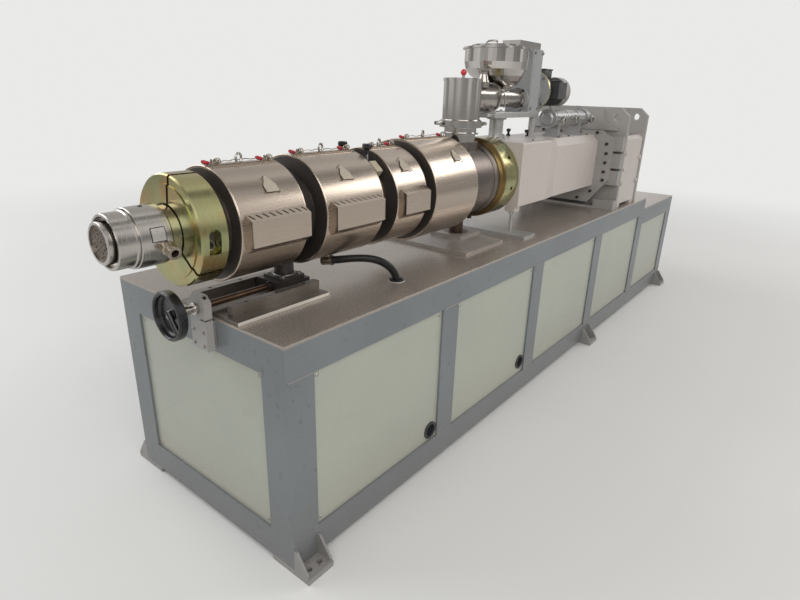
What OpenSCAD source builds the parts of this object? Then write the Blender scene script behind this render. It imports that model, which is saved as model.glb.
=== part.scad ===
// Conical twin-screw plastic extruder on a welded base frame.
// Lengths are in millimetres. +X runs from the die end to the gearbox end,
// -Y is the operator's side and +Z is up. The origin lies on the floor in the
// middle of the base frame. Stations along the machine are measured from the
// die-end face of the frame.

/* [Base frame] */
// Length of the base frame
frame_len = 3750; // [3600:10:4000]
// Width of the base frame
frame_w = 836; // [800:2:900]
// Side of the square tube
tube = 100; // [90:1:110]
// Height of the deck surface above the floor
deck_h = 746; // [700:1:800]
// How far the tail deck lies below the main deck
tail_drop = 66; // [60:1:90]
// Thickness of the deck plates
deck_t = 8; // [6:0.5:12]
// Length of the full-height part of the frame
main_len = 3050; // [3000:10:3150]
// Clear width of the two bays nearest the die
front_bay = 618; // [560:1:640]
// Thickness of a side panel
panel_t = 3; // [2:0.5:5]
// How far a panel sits inside the face of the tubes
panel_inset = 8; // [2:1:20]

/* [Feet] */
// Thickness of a foot plate
foot_t = 20; // [12:1:30]
// How far a foot plate stands out from the frame
foot_reach = 60; // [50:1:80]
// Radius of a foot's bolt hole
foot_hole_r = 9; // [6:0.5:12]
// Spacing of the two bolt holes of a foot
foot_hole_pitch = 40; // [36:1:50]
// Height of a foot's gussets above its plate
gusset_h = 70; // [40:1:90]
// Thickness of a gusset
gusset_t = 8; // [6:1:12]

/* [Barrel line] */
// Height of the screw axis above the deck
axis_up = 255; // [245:1:275]
// Distance of the screw axis from the operator's face of the frame
axis_in = 327; // [315:1:345]
// Radius of the barrel between the heaters
barrel_r = 110; // [100:1:120]
// Radius of the feed section of the barrel
feed_r = 150; // [145:1:158]
// Radial clearance of the covers on the barrel
cover_gap = 0.3; // [0.2:0.1:0.6]
// Thickness of the rolled sheet of a heater cover
cover_t = 3; // [2:0.5:5]

/* [Heaters] */
// Stations of the front of each heater cover
heater_x = [23, 316, 642, 838];
// Length of each heater cover
heater_len = [226, 257, 166, 287];
// Radius of each heater cover
heater_r = [158, 168, 170, 190];
// Depth of a terminal box in front of its cover
box_reach = 22; // [14:1:34]
// Height of the front face of a terminal box
box_h = 68; // [50:1:84]

/* [Die end] */
// Station of the adapter's front lip, in front of the frame
lip_x = -262; // [-275:1:-255]
// Radius of the breaker plate's seat
sieve_r = 44; // [38:1:46]
// Wall of the adapter's front lip
lip_wall = 8; // [4:1:9]
// Station of the nut's front face
nut_x = -247; // [-250:1:-240]
// Length of the adapter's nut
nut_len = 51; // [44:1:56]
// Radius of the adapter's nut
nut_r = 69; // [66:1:72]
// Depth of the channel round the front lip
channel = 16; // [8:1:24]
// Radius of the adapter's body
adapter_r = 76; // [73:1:80]
// Radius of the adapter's neck in the clamp
adapter_neck_r = 70; // [64:1:72]
// Radius of the pressure port
port_r = 15; // [12:1:18]
// How far the pressure port stands out
port_len = 34; // [24:1:44]
// Station of the clamp's front face
clamp_x = -88; // [-94:1:-84]
// Length of the clamp
clamp_len = 82; // [74:1:86]
// Radius of the clamp
clamp_r = 147; // [140:1:152]
// Width of the gap between two clamp segments
clamp_slit = 9; // [5:0.5:12]
// Turn of the clamp's top gap from upright
clamp_turn = 10; // [0:1:20]
// Width of a clamp bolt's pocket
pocket_w = 34; // [26:1:40]
// Length of a clamp bolt's pocket
pocket_len = 66; // [50:1:74]

/* [Front carriage] */
// Length of the bed plate
bed_len = 343; // [335:1:400]
// Width of the bed plate
bed_w = 274; // [260:2:300]
// Thickness of the bed plate
bed_t = 10; // [8:1:14]
// Length of the slide rails
rail_len = 323; // [300:1:330]
// Width of a slide rail
rail_w = 26; // [22:1:32]
// Height of a slide rail
rail_h = 32; // [28:1:36]
// Distance between the rails' outer faces
rail_span = 198; // [190:2:210]
// Radius of a rail's counterbore
rail_bore_r = 6; // [5:0.5:9]
// Height of the lead screw above the deck
screw_up = 29; // [26:1:32]
// Radius of the lead screw
screw_r = 10; // [8:0.5:12]
// Radius of the support posts
post_r = 31; // [26:1:32]
// Station of the front support post
front_post_x = 282.5; // [280:0.5:285]
// Radius of the handwheel
wheel_r = 70; // [60:1:76]
// Station of the handwheel's front face
wheel_x = -124; // [-130:1:-118]
// Depth of the handwheel's rim
wheel_depth = 27; // [18:1:30]
// Thickness of the screw bracket
bracket_t = 24; // [18:1:28]
// Width of the screw bracket
bracket_w = 74; // [64:1:84]
// Radial running clearance of the screw in its bearings
screw_gap = 0.05; // [0.02:0.01:0.1]

/* [Rear support] */
// Station of the rear support post
rear_post_x = 1276; // [1250:1:1300]
// Thickness of the support plates
support_t = 12; // [10:1:16]

/* [Lock collar] */
// Station of the collar's front face
collar_x = 1354; // [1340:1:1370]
// Length of the collar
collar_len = 145; // [130:1:150]
// Radius of the collar
collar_r = 174; // [166:1:180]
// Radius of a spanner hole in the collar
collar_hole_r = 9; // [6:0.5:12]

/* [Connection housing] */
// Length of the housing
housing_len = 941; // [900:1:980]
// Width of the housing
housing_w = 364; // [350:2:380]
// Bottom of the housing below the screw axis
housing_down = 125; // [115:1:135]
// Top of the housing above the screw axis
housing_up = 155; // [145:1:162]
// How much the rear part is narrower on each side
housing_step = 10; // [6:1:16]
// Size of the chamfer along the rear part's top edges
housing_chamfer = 34; // [24:1:44]

/* [Gearbox] */
// Width of the gearbox walls
gear_w = 604; // [580:2:620]
// Thickness of the gearbox walls
gear_wall = 30; // [24:1:40]
// Length of the gear case between its walls
gear_len = 310; // [280:1:340]
// Height of the gear case above the screw axis
gear_up = 150; // [140:1:165]
// Height of the walls' lifting ears above the screw axis
ear_up = 299; // [280:1:310]
// Radius of a lifting hole
ear_hole_r = 19; // [14:1:24]
// Distance of a lifting hole from the wall's side
ear_hole_in = 66; // [50:1:80]
// Size of the walls' clipped top corners
ear_cut = 42; // [30:1:50]
// Radius of the hollow curves on the front wall
pad_curve = 96; // [80:1:110]
// How far the thick middle of the front wall stands out
pad_t = 12; // [8:1:20]
// Height of the foot blocks in front of the walls
foot_block_h = 50; // [40:1:60]
// Length of the ribbed neck and its bolted flange
neck_len = 70; // [60:1:90]
// Radius of the input shaft
shaft_r = 30; // [24:1:36]

/* [Feed throat] */
// Station of the feed cylinder
throat_x = 1262; // [1255:1:1270]
// Radius of the feed cylinder
throat_r = 78; // [72:1:82]
// Radius of the neck below the clamp
neck_r = 64; // [58:1:70]
// Height of the throat clamp above the screw axis
throat_up = 227; // [215:1:232]
// Height of the throat clamp's ring
throat_clamp_t = 16; // [12:1:20]
// Height of the feed cylinder
cylinder_h = 164; // [158:1:180]
// Thickness of the stainless sheet
sheet_t = 3; // [2:0.5:4]

/* [Feeder] */
// Height of the feeder's platform above the housing
stand_up = 100; // [98:1:110]
// Thickness of the feeder's platform
stand_t = 25; // [20:1:30]
// Width of the feeder's platform
stand_w = 136; // [132:2:160]
// Height of the metering screw above the platform
feeder_up = 59; // [59:1:64]
// Radius of the metering barrel
feeder_r = 40; // [34:1:44]
// Radius of the metering barrel's outlet end
outlet_end_r = 57; // [50:1:58]
// Length of the metering barrel's outlet end
outlet_end_len = 150; // [130:1:160]
// Radius of the hopper's rim
hopper_r = 138; // [125:1:140]
// Height of the hopper's rim above the metering screw
hopper_up = 200; // [190:1:215]
// Distance from the feed cylinder to the hopper's rim centre
hopper_off = 256; // [250:1:262]
// Distance from the feed cylinder to the hopper's outlet
outlet_off = 347; // [340:1:352]
// Radius of the hopper's outlet
outlet_r = 31; // [26:1:34]
// Distance from the feed cylinder to the feeder's gear case
case_off = 488; // [484:1:498]
// Length of the feeder's gear case
case_len = 96; // [80:1:110]
// Width of the feeder's gear case
case_w = 132; // [120:2:150]
// Height of the feeder's gear case above the hopper's rim
case_up = 13; // [8:1:25]
// Radius of the feeder's motor
motor_r = 70; // [60:1:76]
// Length of the feeder's motor
motor_len = 300; // [260:1:330]

/* [Oil cooler] */
// Radius of the oil cooler
cooler_r = 40; // [34:1:46]
// Length of the oil cooler
cooler_len = 480; // [440:1:500]

/* [Cable and hose] */
// Radius of a cable hole in a side panel
cable_hole_r = 30; // [24:1:33]
// Distance of a cable hole from the next post
cable_hole_in = 38; // [38:1:60]
// Wall of a rubber grommet
grommet_t = 6; // [4:1:8]
// Radius of the ribbed hose
hose_r = 13; // [11:0.5:15]

/* [Hidden] */
$fn = 72;
eps = 0.5;
fit = 0.3;

far_y = frame_w;
rail_top = deck_h - deck_t;
tail_top = rail_top - tail_drop;
axis_h = deck_h + axis_up;
bottom_top = foot_t + tube;
last_bay_end = main_len - tube;
mid_bay = (last_bay_end - 3 * tube - 2 * front_bay - tube) / 2;
post_x = [0, tube + front_bay, 2 * (tube + front_bay), 3 * tube + 2 * front_bay + mid_bay,
          last_bay_end, frame_len - tube];
foot_x = [0, post_x[3], frame_len - tube];
bed_top = deck_h + bed_t;
screw_h = deck_h + screw_up;
feed_x = 1180;
barrel_front = clamp_x + clamp_len - 40;
flange_r = 118;
lid_t = 4;
pad_top = axis_h + feed_r + 12;
housing_x = collar_x + collar_len;
housing_end = housing_x + housing_len;
housing_low = axis_h - housing_down;
housing_top = axis_h + housing_up;
facet_start = 298;
facet_end = 392;
gear_x = housing_end + neck_len;
gear_end = gear_x + 2 * gear_wall + gear_len;
stand_x = housing_x - 69;
column_x = housing_x + 67;
hopper_x = throat_x + hopper_off;
outlet_x = throat_x + outlet_off;
case_x = throat_x + case_off;
stand_low = housing_top + stand_up;
case_low = stand_low + stand_t;
feeder_h = case_low + feeder_up;
hopper_low = feeder_h + feeder_r + 4;
hopper_top = feeder_h + hopper_up;
case_top = hopper_top + case_up;
case_end = case_x + case_len;
motor_h = feeder_h + 34;
ring_len = 56;
throat_clamp_h = axis_h + throat_up;
cylinder_low = throat_clamp_h + throat_clamp_t;
throat_top = cylinder_low + cylinder_h;

// Puts machine stations on the frame's middle, at floor level.
module placed() {
    translate([-frame_len / 2, -frame_w / 2, 0]) children();
}

// Moves to a station on the screw axis and turns +Z along the machine.
module on_axis(station) {
    translate([station, axis_in, axis_h]) rotate([0, 90, 0]) children();
}

module block(low, size) {
    translate(low) cube(size);
}

// A box of a given width, centred across the screw axis.
module axis_block(x, z, len, wide, high) {
    translate([x, axis_in - wide / 2, z]) cube([len, wide, high]);
}

module upright(x, y, z, r, high) {
    translate([x, y, z]) cylinder(r = r, h = high);
}

module along_x(x, y, z, r, len) {
    translate([x, y, z]) rotate([0, 90, 0]) cylinder(r = r, h = len);
}

module across_y(x, y, z, r, len) {
    translate([x, y, z]) rotate([-90, 0, 0]) cylinder(r = r, h = len);
}

// Base frame

module foot_blank(x) {
    lip = foot_reach - 6;
    block([x, -foot_reach, 0], [tube, foot_reach + tube, foot_t]);
    for (gx = [x, x + tube - gusset_t])
        translate([gx + gusset_t, 0, foot_t]) rotate([90, 0, -90])
            linear_extrude(gusset_t)
                polygon([[0, 0], [lip, 0], [lip, 8], [10, gusset_h], [0, gusset_h]]);
}

module foot_pair(x) {
    difference() {
        union() {
            foot_blank(x);
            translate([0, frame_w, 0]) mirror([0, 1, 0]) foot_blank(x);
        }
        for (y = [-foot_reach / 2, frame_w + foot_reach / 2], s = [-0.5, 0.5])
            upright(x + tube / 2 + s * foot_hole_pitch, y, -eps, foot_hole_r, foot_t + 2 * eps);
    }
}

module feet() {
    color("#8f979b") placed() for (x = foot_x) foot_pair(x);
}

module bottom_rails() {
    color("#9aa2a6") placed() for (y = [0, frame_w - tube])
        block([0, y, foot_t], [frame_len, tube, tube]);
}

module top_rails() {
    color("#9aa2a6") placed() for (y = [0, frame_w - tube])
        block([0, y, rail_top - tube], [main_len, tube, tube]);
}

module tail_rails() {
    color("#9aa2a6") placed() for (y = [0, frame_w - tube])
        block([main_len, y, tail_top - tube], [frame_len - main_len, tube, tube]);
}

module cross_rails() {
    inner = frame_w - 2 * tube;
    color("#9aa2a6") placed() {
        for (x = [post_x[0], post_x[2], post_x[4], post_x[5]])
            block([x, tube, foot_t], [tube, inner, tube]);
        for (x = [post_x[0], post_x[2], post_x[4]])
            block([x, tube, rail_top - tube], [tube, inner, tube]);
        block([post_x[5], tube, tail_top - tube], [tube, inner, tube]);
    }
}

module posts() {
    color("#9aa2a6") placed() for (y = [0, frame_w - tube]) {
        for (i = [0:4])
            block([post_x[i], y, bottom_top], [tube, tube, rail_top - tube - bottom_top]);
        block([post_x[5], y, bottom_top], [tube, tube, tail_top - tube - bottom_top]);
    }
}

module side_panel(bay, y) {
    start = post_x[bay] + tube;
    top = bay < 4 ? rail_top - tube : tail_top - tube;
    block([start, y, bottom_top], [post_x[bay + 1] - start, panel_t, top - bottom_top]);
}

cable_holes = [[post_x[1] - cable_hole_in, bottom_top + 40], [post_x[2] - cable_hole_in, bottom_top + 56]];

module operator_panels() {
    color("#c9cfc2") placed() difference() {
        for (bay = [0:4]) side_panel(bay, panel_inset);
        for (hole = cable_holes)
            across_y(hole[0], panel_inset - eps, hole[1], cable_hole_r, panel_t + 2 * eps);
    }
}

module plain_panels() {
    wide = frame_w - 2 * tube;
    color("#c9cfc2") placed() {
        for (bay = [0:4]) side_panel(bay, frame_w - panel_inset - panel_t);
        block([panel_inset, tube, bottom_top], [panel_t, wide, rail_top - tube - bottom_top]);
        block([frame_len - panel_inset - panel_t, tube, bottom_top],
              [panel_t, wide, tail_top - tube - bottom_top]);
    }
}

hose_exit = [605, 127];
hose_hole_r = hose_r + grommet_t + 3;

module deck_plates() {
    color("#b9b3ab") placed() difference() {
        union() {
            block([0, 0, rail_top], [main_len, frame_w, deck_t]);
            block([main_len + fit, 0, tail_top], [frame_len - main_len - fit, frame_w, deck_t]);
        }
        upright(hose_exit[0], hose_exit[1], rail_top - eps, hose_hole_r, deck_t + 2 * eps);
    }
}

// A rubber ring with a lip on each side of a sheet, seated in a hole of radius r.
module grommet(r, sheet) {
    lip = 4;
    rotate_extrude() polygon([
        [r - grommet_t, -lip], [r + lip, -lip], [r + lip, 0], [r, 0], [r, sheet],
        [r + lip, sheet], [r + lip, sheet + lip], [r - grommet_t, sheet + lip]
    ]);
}

module grommets() {
    color("#202224") placed() {
        for (hole = cable_holes)
            translate([hole[0], panel_inset, hole[1]]) rotate([-90, 0, 0])
                grommet(cable_hole_r, panel_t);
        translate([hose_exit[0], hose_exit[1], rail_top]) grommet(hose_hole_r, deck_t);
    }
}

// The ribbed hose leaves a spigot under the second cover and enters the deck.
hose_route = [
    [446, 271.4, 823.1], [452.6, 255.9, 826.2], [461.1, 241.4, 829], [471.1, 227.7, 831.3],
    [482.3, 214.9, 832.7], [494.4, 202.8, 833.3], [507.1, 191.5, 832.7], [520.4, 180.8, 830.9],
    [533.8, 170.8, 827.5], [547.2, 161.5, 822.3], [560.1, 152.9, 815.2], [572.2, 145.1, 805.9],
    [583.1, 138.2, 794.7], [592.4, 133.1, 781.7], [599.3, 129.3, 767], [603.8, 127.3, 751.2],
    [605.8, 126.6, 734.6]
];
hose_sides = 10;

function unit(v) = v / norm(v);
function tangent(p, i) = unit(p[min(i + 1, len(p) - 1)] - p[max(i - 1, 0)]);
function ring_at(p, i, r, n) =
    let (t = tangent(p, i), s = unit(cross(t, [0.3, 1, 0.2])), u = cross(t, s))
    [for (k = [0:n - 1]) p[i] + r * (cos(360 * k / n) * s + sin(360 * k / n) * u)];

module swept_tube(p, r, n) {
    points = [for (i = [0:len(p) - 1]) for (q = ring_at(p, i, r, n)) q];
    sides = [for (i = [0:len(p) - 2], k = [0:n - 1])
        [i * n + k, i * n + (k + 1) % n, (i + 1) * n + (k + 1) % n, (i + 1) * n + k]];
    ends = [[for (k = [n - 1:-1:0]) k], [for (k = [0:n - 1]) (len(p) - 1) * n + k]];
    polyhedron(points, concat(sides, ends));
}

module ribbed_hose() {
    color("#1d1e20") placed() swept_tube(hose_route, hose_r, hose_sides);
}

// Front carriage

module slide_bed() {
    bed_x = 4;
    rail_x = 17;
    holes = 3;
    color("#8a857c") placed() {
        difference() {
            union() {
                axis_block(bed_x, deck_h, bed_len, bed_w, bed_t);
                for (s = [-1, 1])
                    translate([rail_x, axis_in + s * (rail_span - rail_w) / 2 - rail_w / 2, bed_top - eps])
                        cube([rail_len, rail_w, rail_h + eps]);
            }
            for (s = [-1, 1], i = [0:holes - 1])
                upright(rail_x + rail_len * (i + 0.5) / holes, axis_in + s * (rail_span - rail_w) / 2,
                        bed_top + rail_h - 12, rail_bore_r, 12 + eps);
        }
    }
}

carriage_x = 222;
carriage_len = 114;

module carriage() {
    gap = rail_span - 2 * rail_w - 2;
    low_h = rail_h - 6;
    color("#6d6a66") placed() difference() {
        union() {
            axis_block(carriage_x, bed_top, carriage_len, gap, low_h);
            axis_block(carriage_x, bed_top + low_h - eps, carriage_len, carriage_w, carriage_t + eps);
            along_x(carriage_x - 12, axis_in, screw_h, 17, 14);
        }
        along_x(carriage_x - 12 - eps, axis_in, screw_h, screw_r + screw_gap, carriage_len + 14);
        for (s = [-1, 1]) translate([carriage_x - eps, axis_in + s * (gap / 2 - 7) - 3, bed_top + low_h - 9])
            cube([carriage_len + 2 * eps, 6, 10]);
    }
}

carriage_w = 120;
carriage_t = 11;
carriage_top = bed_top + rail_h - 6 + carriage_t;

// A post with a square foot and a saddle ring round the barrel.
module barrel_post(x, z, foot, foot_high, ring_r, ring_w) {
    difference() {
        union() {
            axis_block(x - foot / 2, z, foot, foot, foot_high);
            upright(x, axis_in, z, post_r, axis_h - z - ring_r);
            on_axis(x - ring_w / 2) cylinder(r = ring_r + 13, h = ring_w);
        }
        on_axis(x - ring_w / 2 - eps) cylinder(r = ring_r + cover_gap, h = ring_w + 2 * eps);
    }
}

module front_support() {
    color("#3f3d3b") placed() barrel_post(front_post_x, carriage_top, 90, 10, barrel_r, 44);
}

module screw_bracket() {
    low = screw_h - 126;
    high = screw_h + 37;
    corner = 18;
    slit = 5;
    front = -8 - bracket_t;
    color("#9b9fa2") placed() difference() {
        union() {
            translate([front, axis_in, 0]) rotate([90, 0, 90]) linear_extrude(bracket_t)
                polygon([
                    [-bracket_w / 2, low], [bracket_w / 2, low],
                    [bracket_w / 2, high - corner], [bracket_w / 2 - corner, high],
                    [-bracket_w / 2 + corner, high], [-bracket_w / 2, high - corner]
                ]);
            axis_block(-8 - eps, low + 8, 8 + eps, bracket_w - 8, rail_top - low - 12);
        }
        along_x(front - eps, axis_in, screw_h, screw_r + screw_gap, bracket_t + 2 * eps);
        translate([front - eps, axis_in - bracket_w / 2 - eps, screw_h - 34])
            cube([bracket_t + 2 * eps, 26, slit]);
    }
}

module lead_screw() {
    start = wheel_x + wheel_depth - 12;
    end = carriage_x + carriage_len + 8;
    collar_end = -8 - bracket_t - 0.5;
    color("#6b4a39") placed() {
        along_x(start, axis_in, screw_h, screw_r, end - start);
        along_x(collar_end - 10, axis_in, screw_h, screw_r + 6, 10);
    }
}

module handwheel() {
    rim_t = 13;
    hub_r = 20;
    web = 7;
    web_at = wheel_depth - 3;
    hub_len = wheel_depth + 24;
    bore = screw_r + 0.1;
    grip_r = 8;
    grip_len = 68;
    lean = 36;
    pivot = [axis_in - wheel_r * 0.6, screw_h - wheel_r * 0.48];
    color("#17181a") placed() {
        translate([wheel_x, axis_in, screw_h]) rotate([0, 90, 0]) rotate_extrude() polygon([
            [bore, web_at - 10], [hub_r - 3, web_at - 10], [hub_r, web_at - 7], [hub_r, web_at - web],
            [wheel_r - rim_t - 5, web_at - web], [wheel_r - rim_t, web_at - web - 5], [wheel_r - rim_t + 2, 3],
            [wheel_r - rim_t + 5, 0], [wheel_r - 4, 0], [wheel_r, 4], [wheel_r, wheel_depth - 4],
            [wheel_r - 4, wheel_depth], [wheel_r - rim_t, wheel_depth], [wheel_r - rim_t - 4, web_at],
            [hub_r + 3, web_at], [hub_r, web_at + 3], [hub_r - 3, hub_len], [bore, hub_len]
        ]);
        translate([wheel_x + 6, pivot[0], pivot[1]]) rotate([-lean, 0, 0]) rotate_extrude() polygon([
            [0, -grip_r], [grip_r - 3, -grip_r], [grip_r, -grip_r + 3], [grip_r, 8], [grip_r - 1, grip_len / 2],
            [grip_r, grip_len - 8], [grip_r - 3, grip_len - grip_r], [0, grip_len - grip_r]
        ]);
        translate([wheel_x + 6, pivot[0], pivot[1]]) rotate([0, 90, 0]) cylinder(r = 6, h = web_at - 8);
    }
}

// Rear support

module rear_support() {
    base_len = 305;
    base_w = 424;
    base_back = 57;
    pad_len = 166;
    pad_w = 160;
    pad_t = 15;
    foot = deck_h + support_t + pad_t;
    color("#7f7c78") placed() {
        axis_block(rear_post_x + base_back - base_len, deck_h, base_len, base_w, support_t);
        axis_block(rear_post_x - pad_len / 2, deck_h + support_t, pad_len, pad_w, pad_t);
        difference() {
            upright(rear_post_x, axis_in, foot, post_r, axis_h - foot);
            on_axis(rear_post_x - post_r - 1) cylinder(r = feed_r + cover_gap, h = 2 * post_r + 2);
        }
    }
}

// Barrel line

module barrel() {
    flange = 24;
    lip = 8;
    color("#4c4a48") placed() difference() {
        union() {
            on_axis(barrel_front) cylinder(r = barrel_r, h = feed_x - barrel_front + eps);
            on_axis(barrel_front) cylinder(r = flange_r, h = flange);
            on_axis(0) rotate_extrude() polygon([
                [0, feed_x], [feed_r - 4, feed_x], [feed_r, feed_x + 4], [feed_r, collar_x - 26],
                [feed_r + lip, collar_x - 20], [feed_r + lip, collar_x], [feed_r, collar_x],
                [feed_r, housing_x], [0, housing_x]
            ]);
            upright(throat_x, axis_in, axis_h, neck_r + 14, pad_top - axis_h);
        }
        upright(throat_x, axis_in, axis_h + feed_r / 3, neck_r - sheet_t, feed_r);
    }
}

module breaker_plate() {
    thick = 12;
    color("#9d968c") placed() on_axis(lip_x + 3) difference() {
        cylinder(r = sieve_r - fit, h = thick);
        for (ring = [[0, 1], [11, 6], [22, 12], [33, 18]], i = [0:ring[1] - 1]) rotate(i * 360 / ring[1])
            translate([ring[0], 0, -eps]) cylinder(r = 3.4, h = thick + 2 * eps, $fn = 16);
    }
}

module die_adapter() {
    nut_end = nut_x + nut_len;
    groove = 3;
    seat = lip_x + 15 + fit;
    bore = 30;
    lip_r = sieve_r + lip_wall;
    color("#b5b1ab") placed() difference() {
        on_axis(0) rotate_extrude() polygon([
            [bore, seat], [sieve_r, seat], [sieve_r, lip_x], [lip_r - 2, lip_x], [lip_r, lip_x + 2],
            [lip_r, nut_x + channel], [nut_r - 9, nut_x + channel], [nut_r - 7, nut_x], [nut_r - 2, nut_x],
            [nut_r, nut_x + 2], [nut_r, nut_end - 9], [nut_r + 3, nut_end - 6], [nut_r + 3, nut_end - groove],
            [nut_r, nut_end - groove], [nut_r, nut_end], [adapter_r - 2, nut_end], [adapter_r, nut_end + 2],
            [adapter_r, clamp_x - 30], [adapter_r - 3, clamp_x - 26], [adapter_neck_r, clamp_x - 26],
            [adapter_neck_r, clamp_x + 16], [flange_r, clamp_x + 16], [flange_r, barrel_front - fit],
            [bore, barrel_front - fit]
        ]);
        port_place() cylinder(r = port_r - 5, h = adapter_r + 10);
    }
}

// The pressure port leaves the adapter's body towards the operator, a little downwards.
module port_place() {
    translate([clamp_x - 46, axis_in, axis_h]) rotate([105, 0, 0]) children();
}

module pressure_port() {
    foot = 8;
    color("#8d877c") placed() difference() {
        port_place() rotate_extrude() polygon([
            [port_r - 5, adapter_r - 10], [port_r + 3, adapter_r - 10], [port_r + 3, adapter_r + foot],
            [port_r - 1, adapter_r + foot + 2], [port_r - 1, adapter_r + port_len - 12],
            [port_r + 2, adapter_r + port_len - 9], [port_r + 2, adapter_r + port_len],
            [port_r - 5, adapter_r + port_len]
        ]);
        on_axis(nut_x) cylinder(r = adapter_r + fit, h = clamp_x - nut_x);
    }
}

module clamp_segments() {
    segments = 3;
    front_lip = 14;
    step = 3;
    inner = adapter_neck_r + 4;
    pocket_at = 36;
    reach = clamp_r - 30;
    color("#a39f6b") placed() on_axis(clamp_x) difference() {
        rotate_extrude() polygon([
            [inner, 0], [clamp_r - 24, 0], [clamp_r - 24, step], [clamp_r - 4, step], [clamp_r, step + 4],
            [clamp_r, clamp_len - 3], [clamp_r - 3, clamp_len], [barrel_r + fit, clamp_len],
            [barrel_r + fit, clamp_len - front_lip], [flange_r + fit, clamp_len - front_lip],
            [flange_r + fit, front_lip], [inner, front_lip]
        ]);
        for (i = [0:segments - 1]) rotate(180 + clamp_turn + i * 360 / segments) {
            translate([0, -clamp_slit / 2, -eps]) cube([clamp_r + eps, clamp_slit, clamp_len + 2 * eps]);
            rotate(-pocket_at) translate([reach, 0, clamp_len / 2]) {
                translate([0, -pocket_len / 2 + pocket_w / 2, 0]) rotate([0, 90, 0])
                    cylinder(r = pocket_w / 2, h = clamp_r);
                translate([0, -pocket_len / 2 + pocket_w / 2, -pocket_w / 2])
                    cube([clamp_r, pocket_len - pocket_w / 2, pocket_w]);
            }
        }
    }
}

// A rolled cover round the barrel: its end plates lie just inside the folded edge.
// Two ribs run along the top, beside the seam that opens it.
module heater_cover(i) {
    r = heater_r[i];
    w = heater_len[i];
    inset = 2;
    seam = 1.5;
    difference() {
        on_axis(heater_x[i]) rotate_extrude() polygon([
            [barrel_r + cover_gap, inset], [r - cover_t, inset], [r - cover_t, 0], [r - 1.5, 0], [r, 1.5],
            [r, w - 1.5], [r - 1.5, w], [r - cover_t, w], [r - cover_t, w - inset],
            [barrel_r + cover_gap, w - inset]
        ]);
        translate([heater_x[i] - eps, axis_in - seam / 2, axis_h + r - 34]) cube([w + 2 * eps, seam, 40]);
    }
    for (y = [-24, -38])
        translate([heater_x[i] + 4, axis_in + y, axis_h + sqrt(r * r - y * y) - 4])
            cube([w - 8, 3, 7]);
}

// The terminal box on a cover: an upright face, a flat top with louvres and a sloping underside.
module terminal_box(i, inset, len) {
    r = heater_r[i];
    face = axis_in - r - box_reach;
    mid = axis_h - 3;
    slots = floor(len / 22);
    x = heater_x[i] + inset;
    difference() {
        translate([x, 0, 0]) rotate([90, 0, 90]) linear_extrude(len) polygon([
            [face, mid - box_h / 2], [face, mid + box_h / 2], [axis_in - r + 26, mid + box_h / 2],
            [axis_in - r + 40, mid], [axis_in - r + 42, mid - box_h / 2 - 40]
        ]);
        on_axis(x - eps) cylinder(r = r - 2, h = len + 2 * eps);
        for (k = [0:slots - 1])
            translate([x + len * (k + 0.5) / slots, face + 14, mid + box_h / 2])
                rotate(25) cube([4, 18, 8], center = true);
    }
}

module heater_1() {
    color("#a39c93") placed() {
        heater_cover(0);
        terminal_box(0, 18, 200);
    }
}

module heater_2() {
    color("#a39c93") placed() {
        heater_cover(1);
        terminal_box(1, 20, 215);
        hose_spigot();
    }
}

// The spigot that the hose plugs on to; it lies in line with the hose's start.
module hose_spigot() {
    dir = unit(hose_route[1] - hose_route[0]);
    reach = 40;
    back = hose_route[0] - (reach + fit) * dir;
    translate(back) rotate([0, acos(dir[2]), atan2(dir[1], dir[0])]) {
        cylinder(r = hose_r + 1, h = reach);
        translate([0, 0, reach - 8]) cylinder(r = hose_r + 4, h = 8);
    }
}

module heater_3() {
    color("#a39c93") placed() {
        heater_cover(2);
        terminal_box(2, 18, 138);
    }
}

module heater_4() {
    color("#a39c93") placed() heater_cover(3);
}

module lock_collar() {
    holes = 8;
    color("#a08f4e") placed() on_axis(collar_x) difference() {
        rotate_extrude() polygon([
            [feed_r + fit, 0], [collar_r - 14, 0], [collar_r - 4, 10], [collar_r, 22],
            [collar_r, collar_len - 4], [collar_r - 4, collar_len], [feed_r + fit, collar_len]
        ]);
        for (i = [0:holes - 1]) rotate(i * 360 / holes + 12)
            translate([collar_r - 16, 0, collar_len * 0.62]) rotate([0, 90, 0])
                cylinder(r = collar_hole_r, h = 20);
    }
}

// Connection housing

module housing_plan() {
    half = housing_w / 2;
    rear = half - housing_step;
    polygon([
        [0, -half], [facet_start, -half], [facet_end, -rear], [housing_len, -rear],
        [housing_len, rear], [facet_end, rear], [facet_start, half], [0, half]
    ]);
}

// Cuts the long chamfer from a top edge; it starts at a point and opens out.
module chamfer_cut(side) {
    rear = housing_w / 2 - housing_step;
    over = 20;
    c = housing_chamfer;
    hull() {
        translate([facet_start, side * (housing_w / 2 + over), housing_up + over])
            cube([1, 1, 1], center = true);
        for (x = [facet_end, housing_len + over], q = [[over, -c - over], [-c - over, over], [over + c, over + c]])
            translate([x, side * (rear + q[0]), housing_up + q[1]]) cube([0.1, 0.1, 0.1], center = true);
    }
}

jack_x = 25;
jack_y = 143;
lug = 50;
lug_down = 26;

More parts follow.
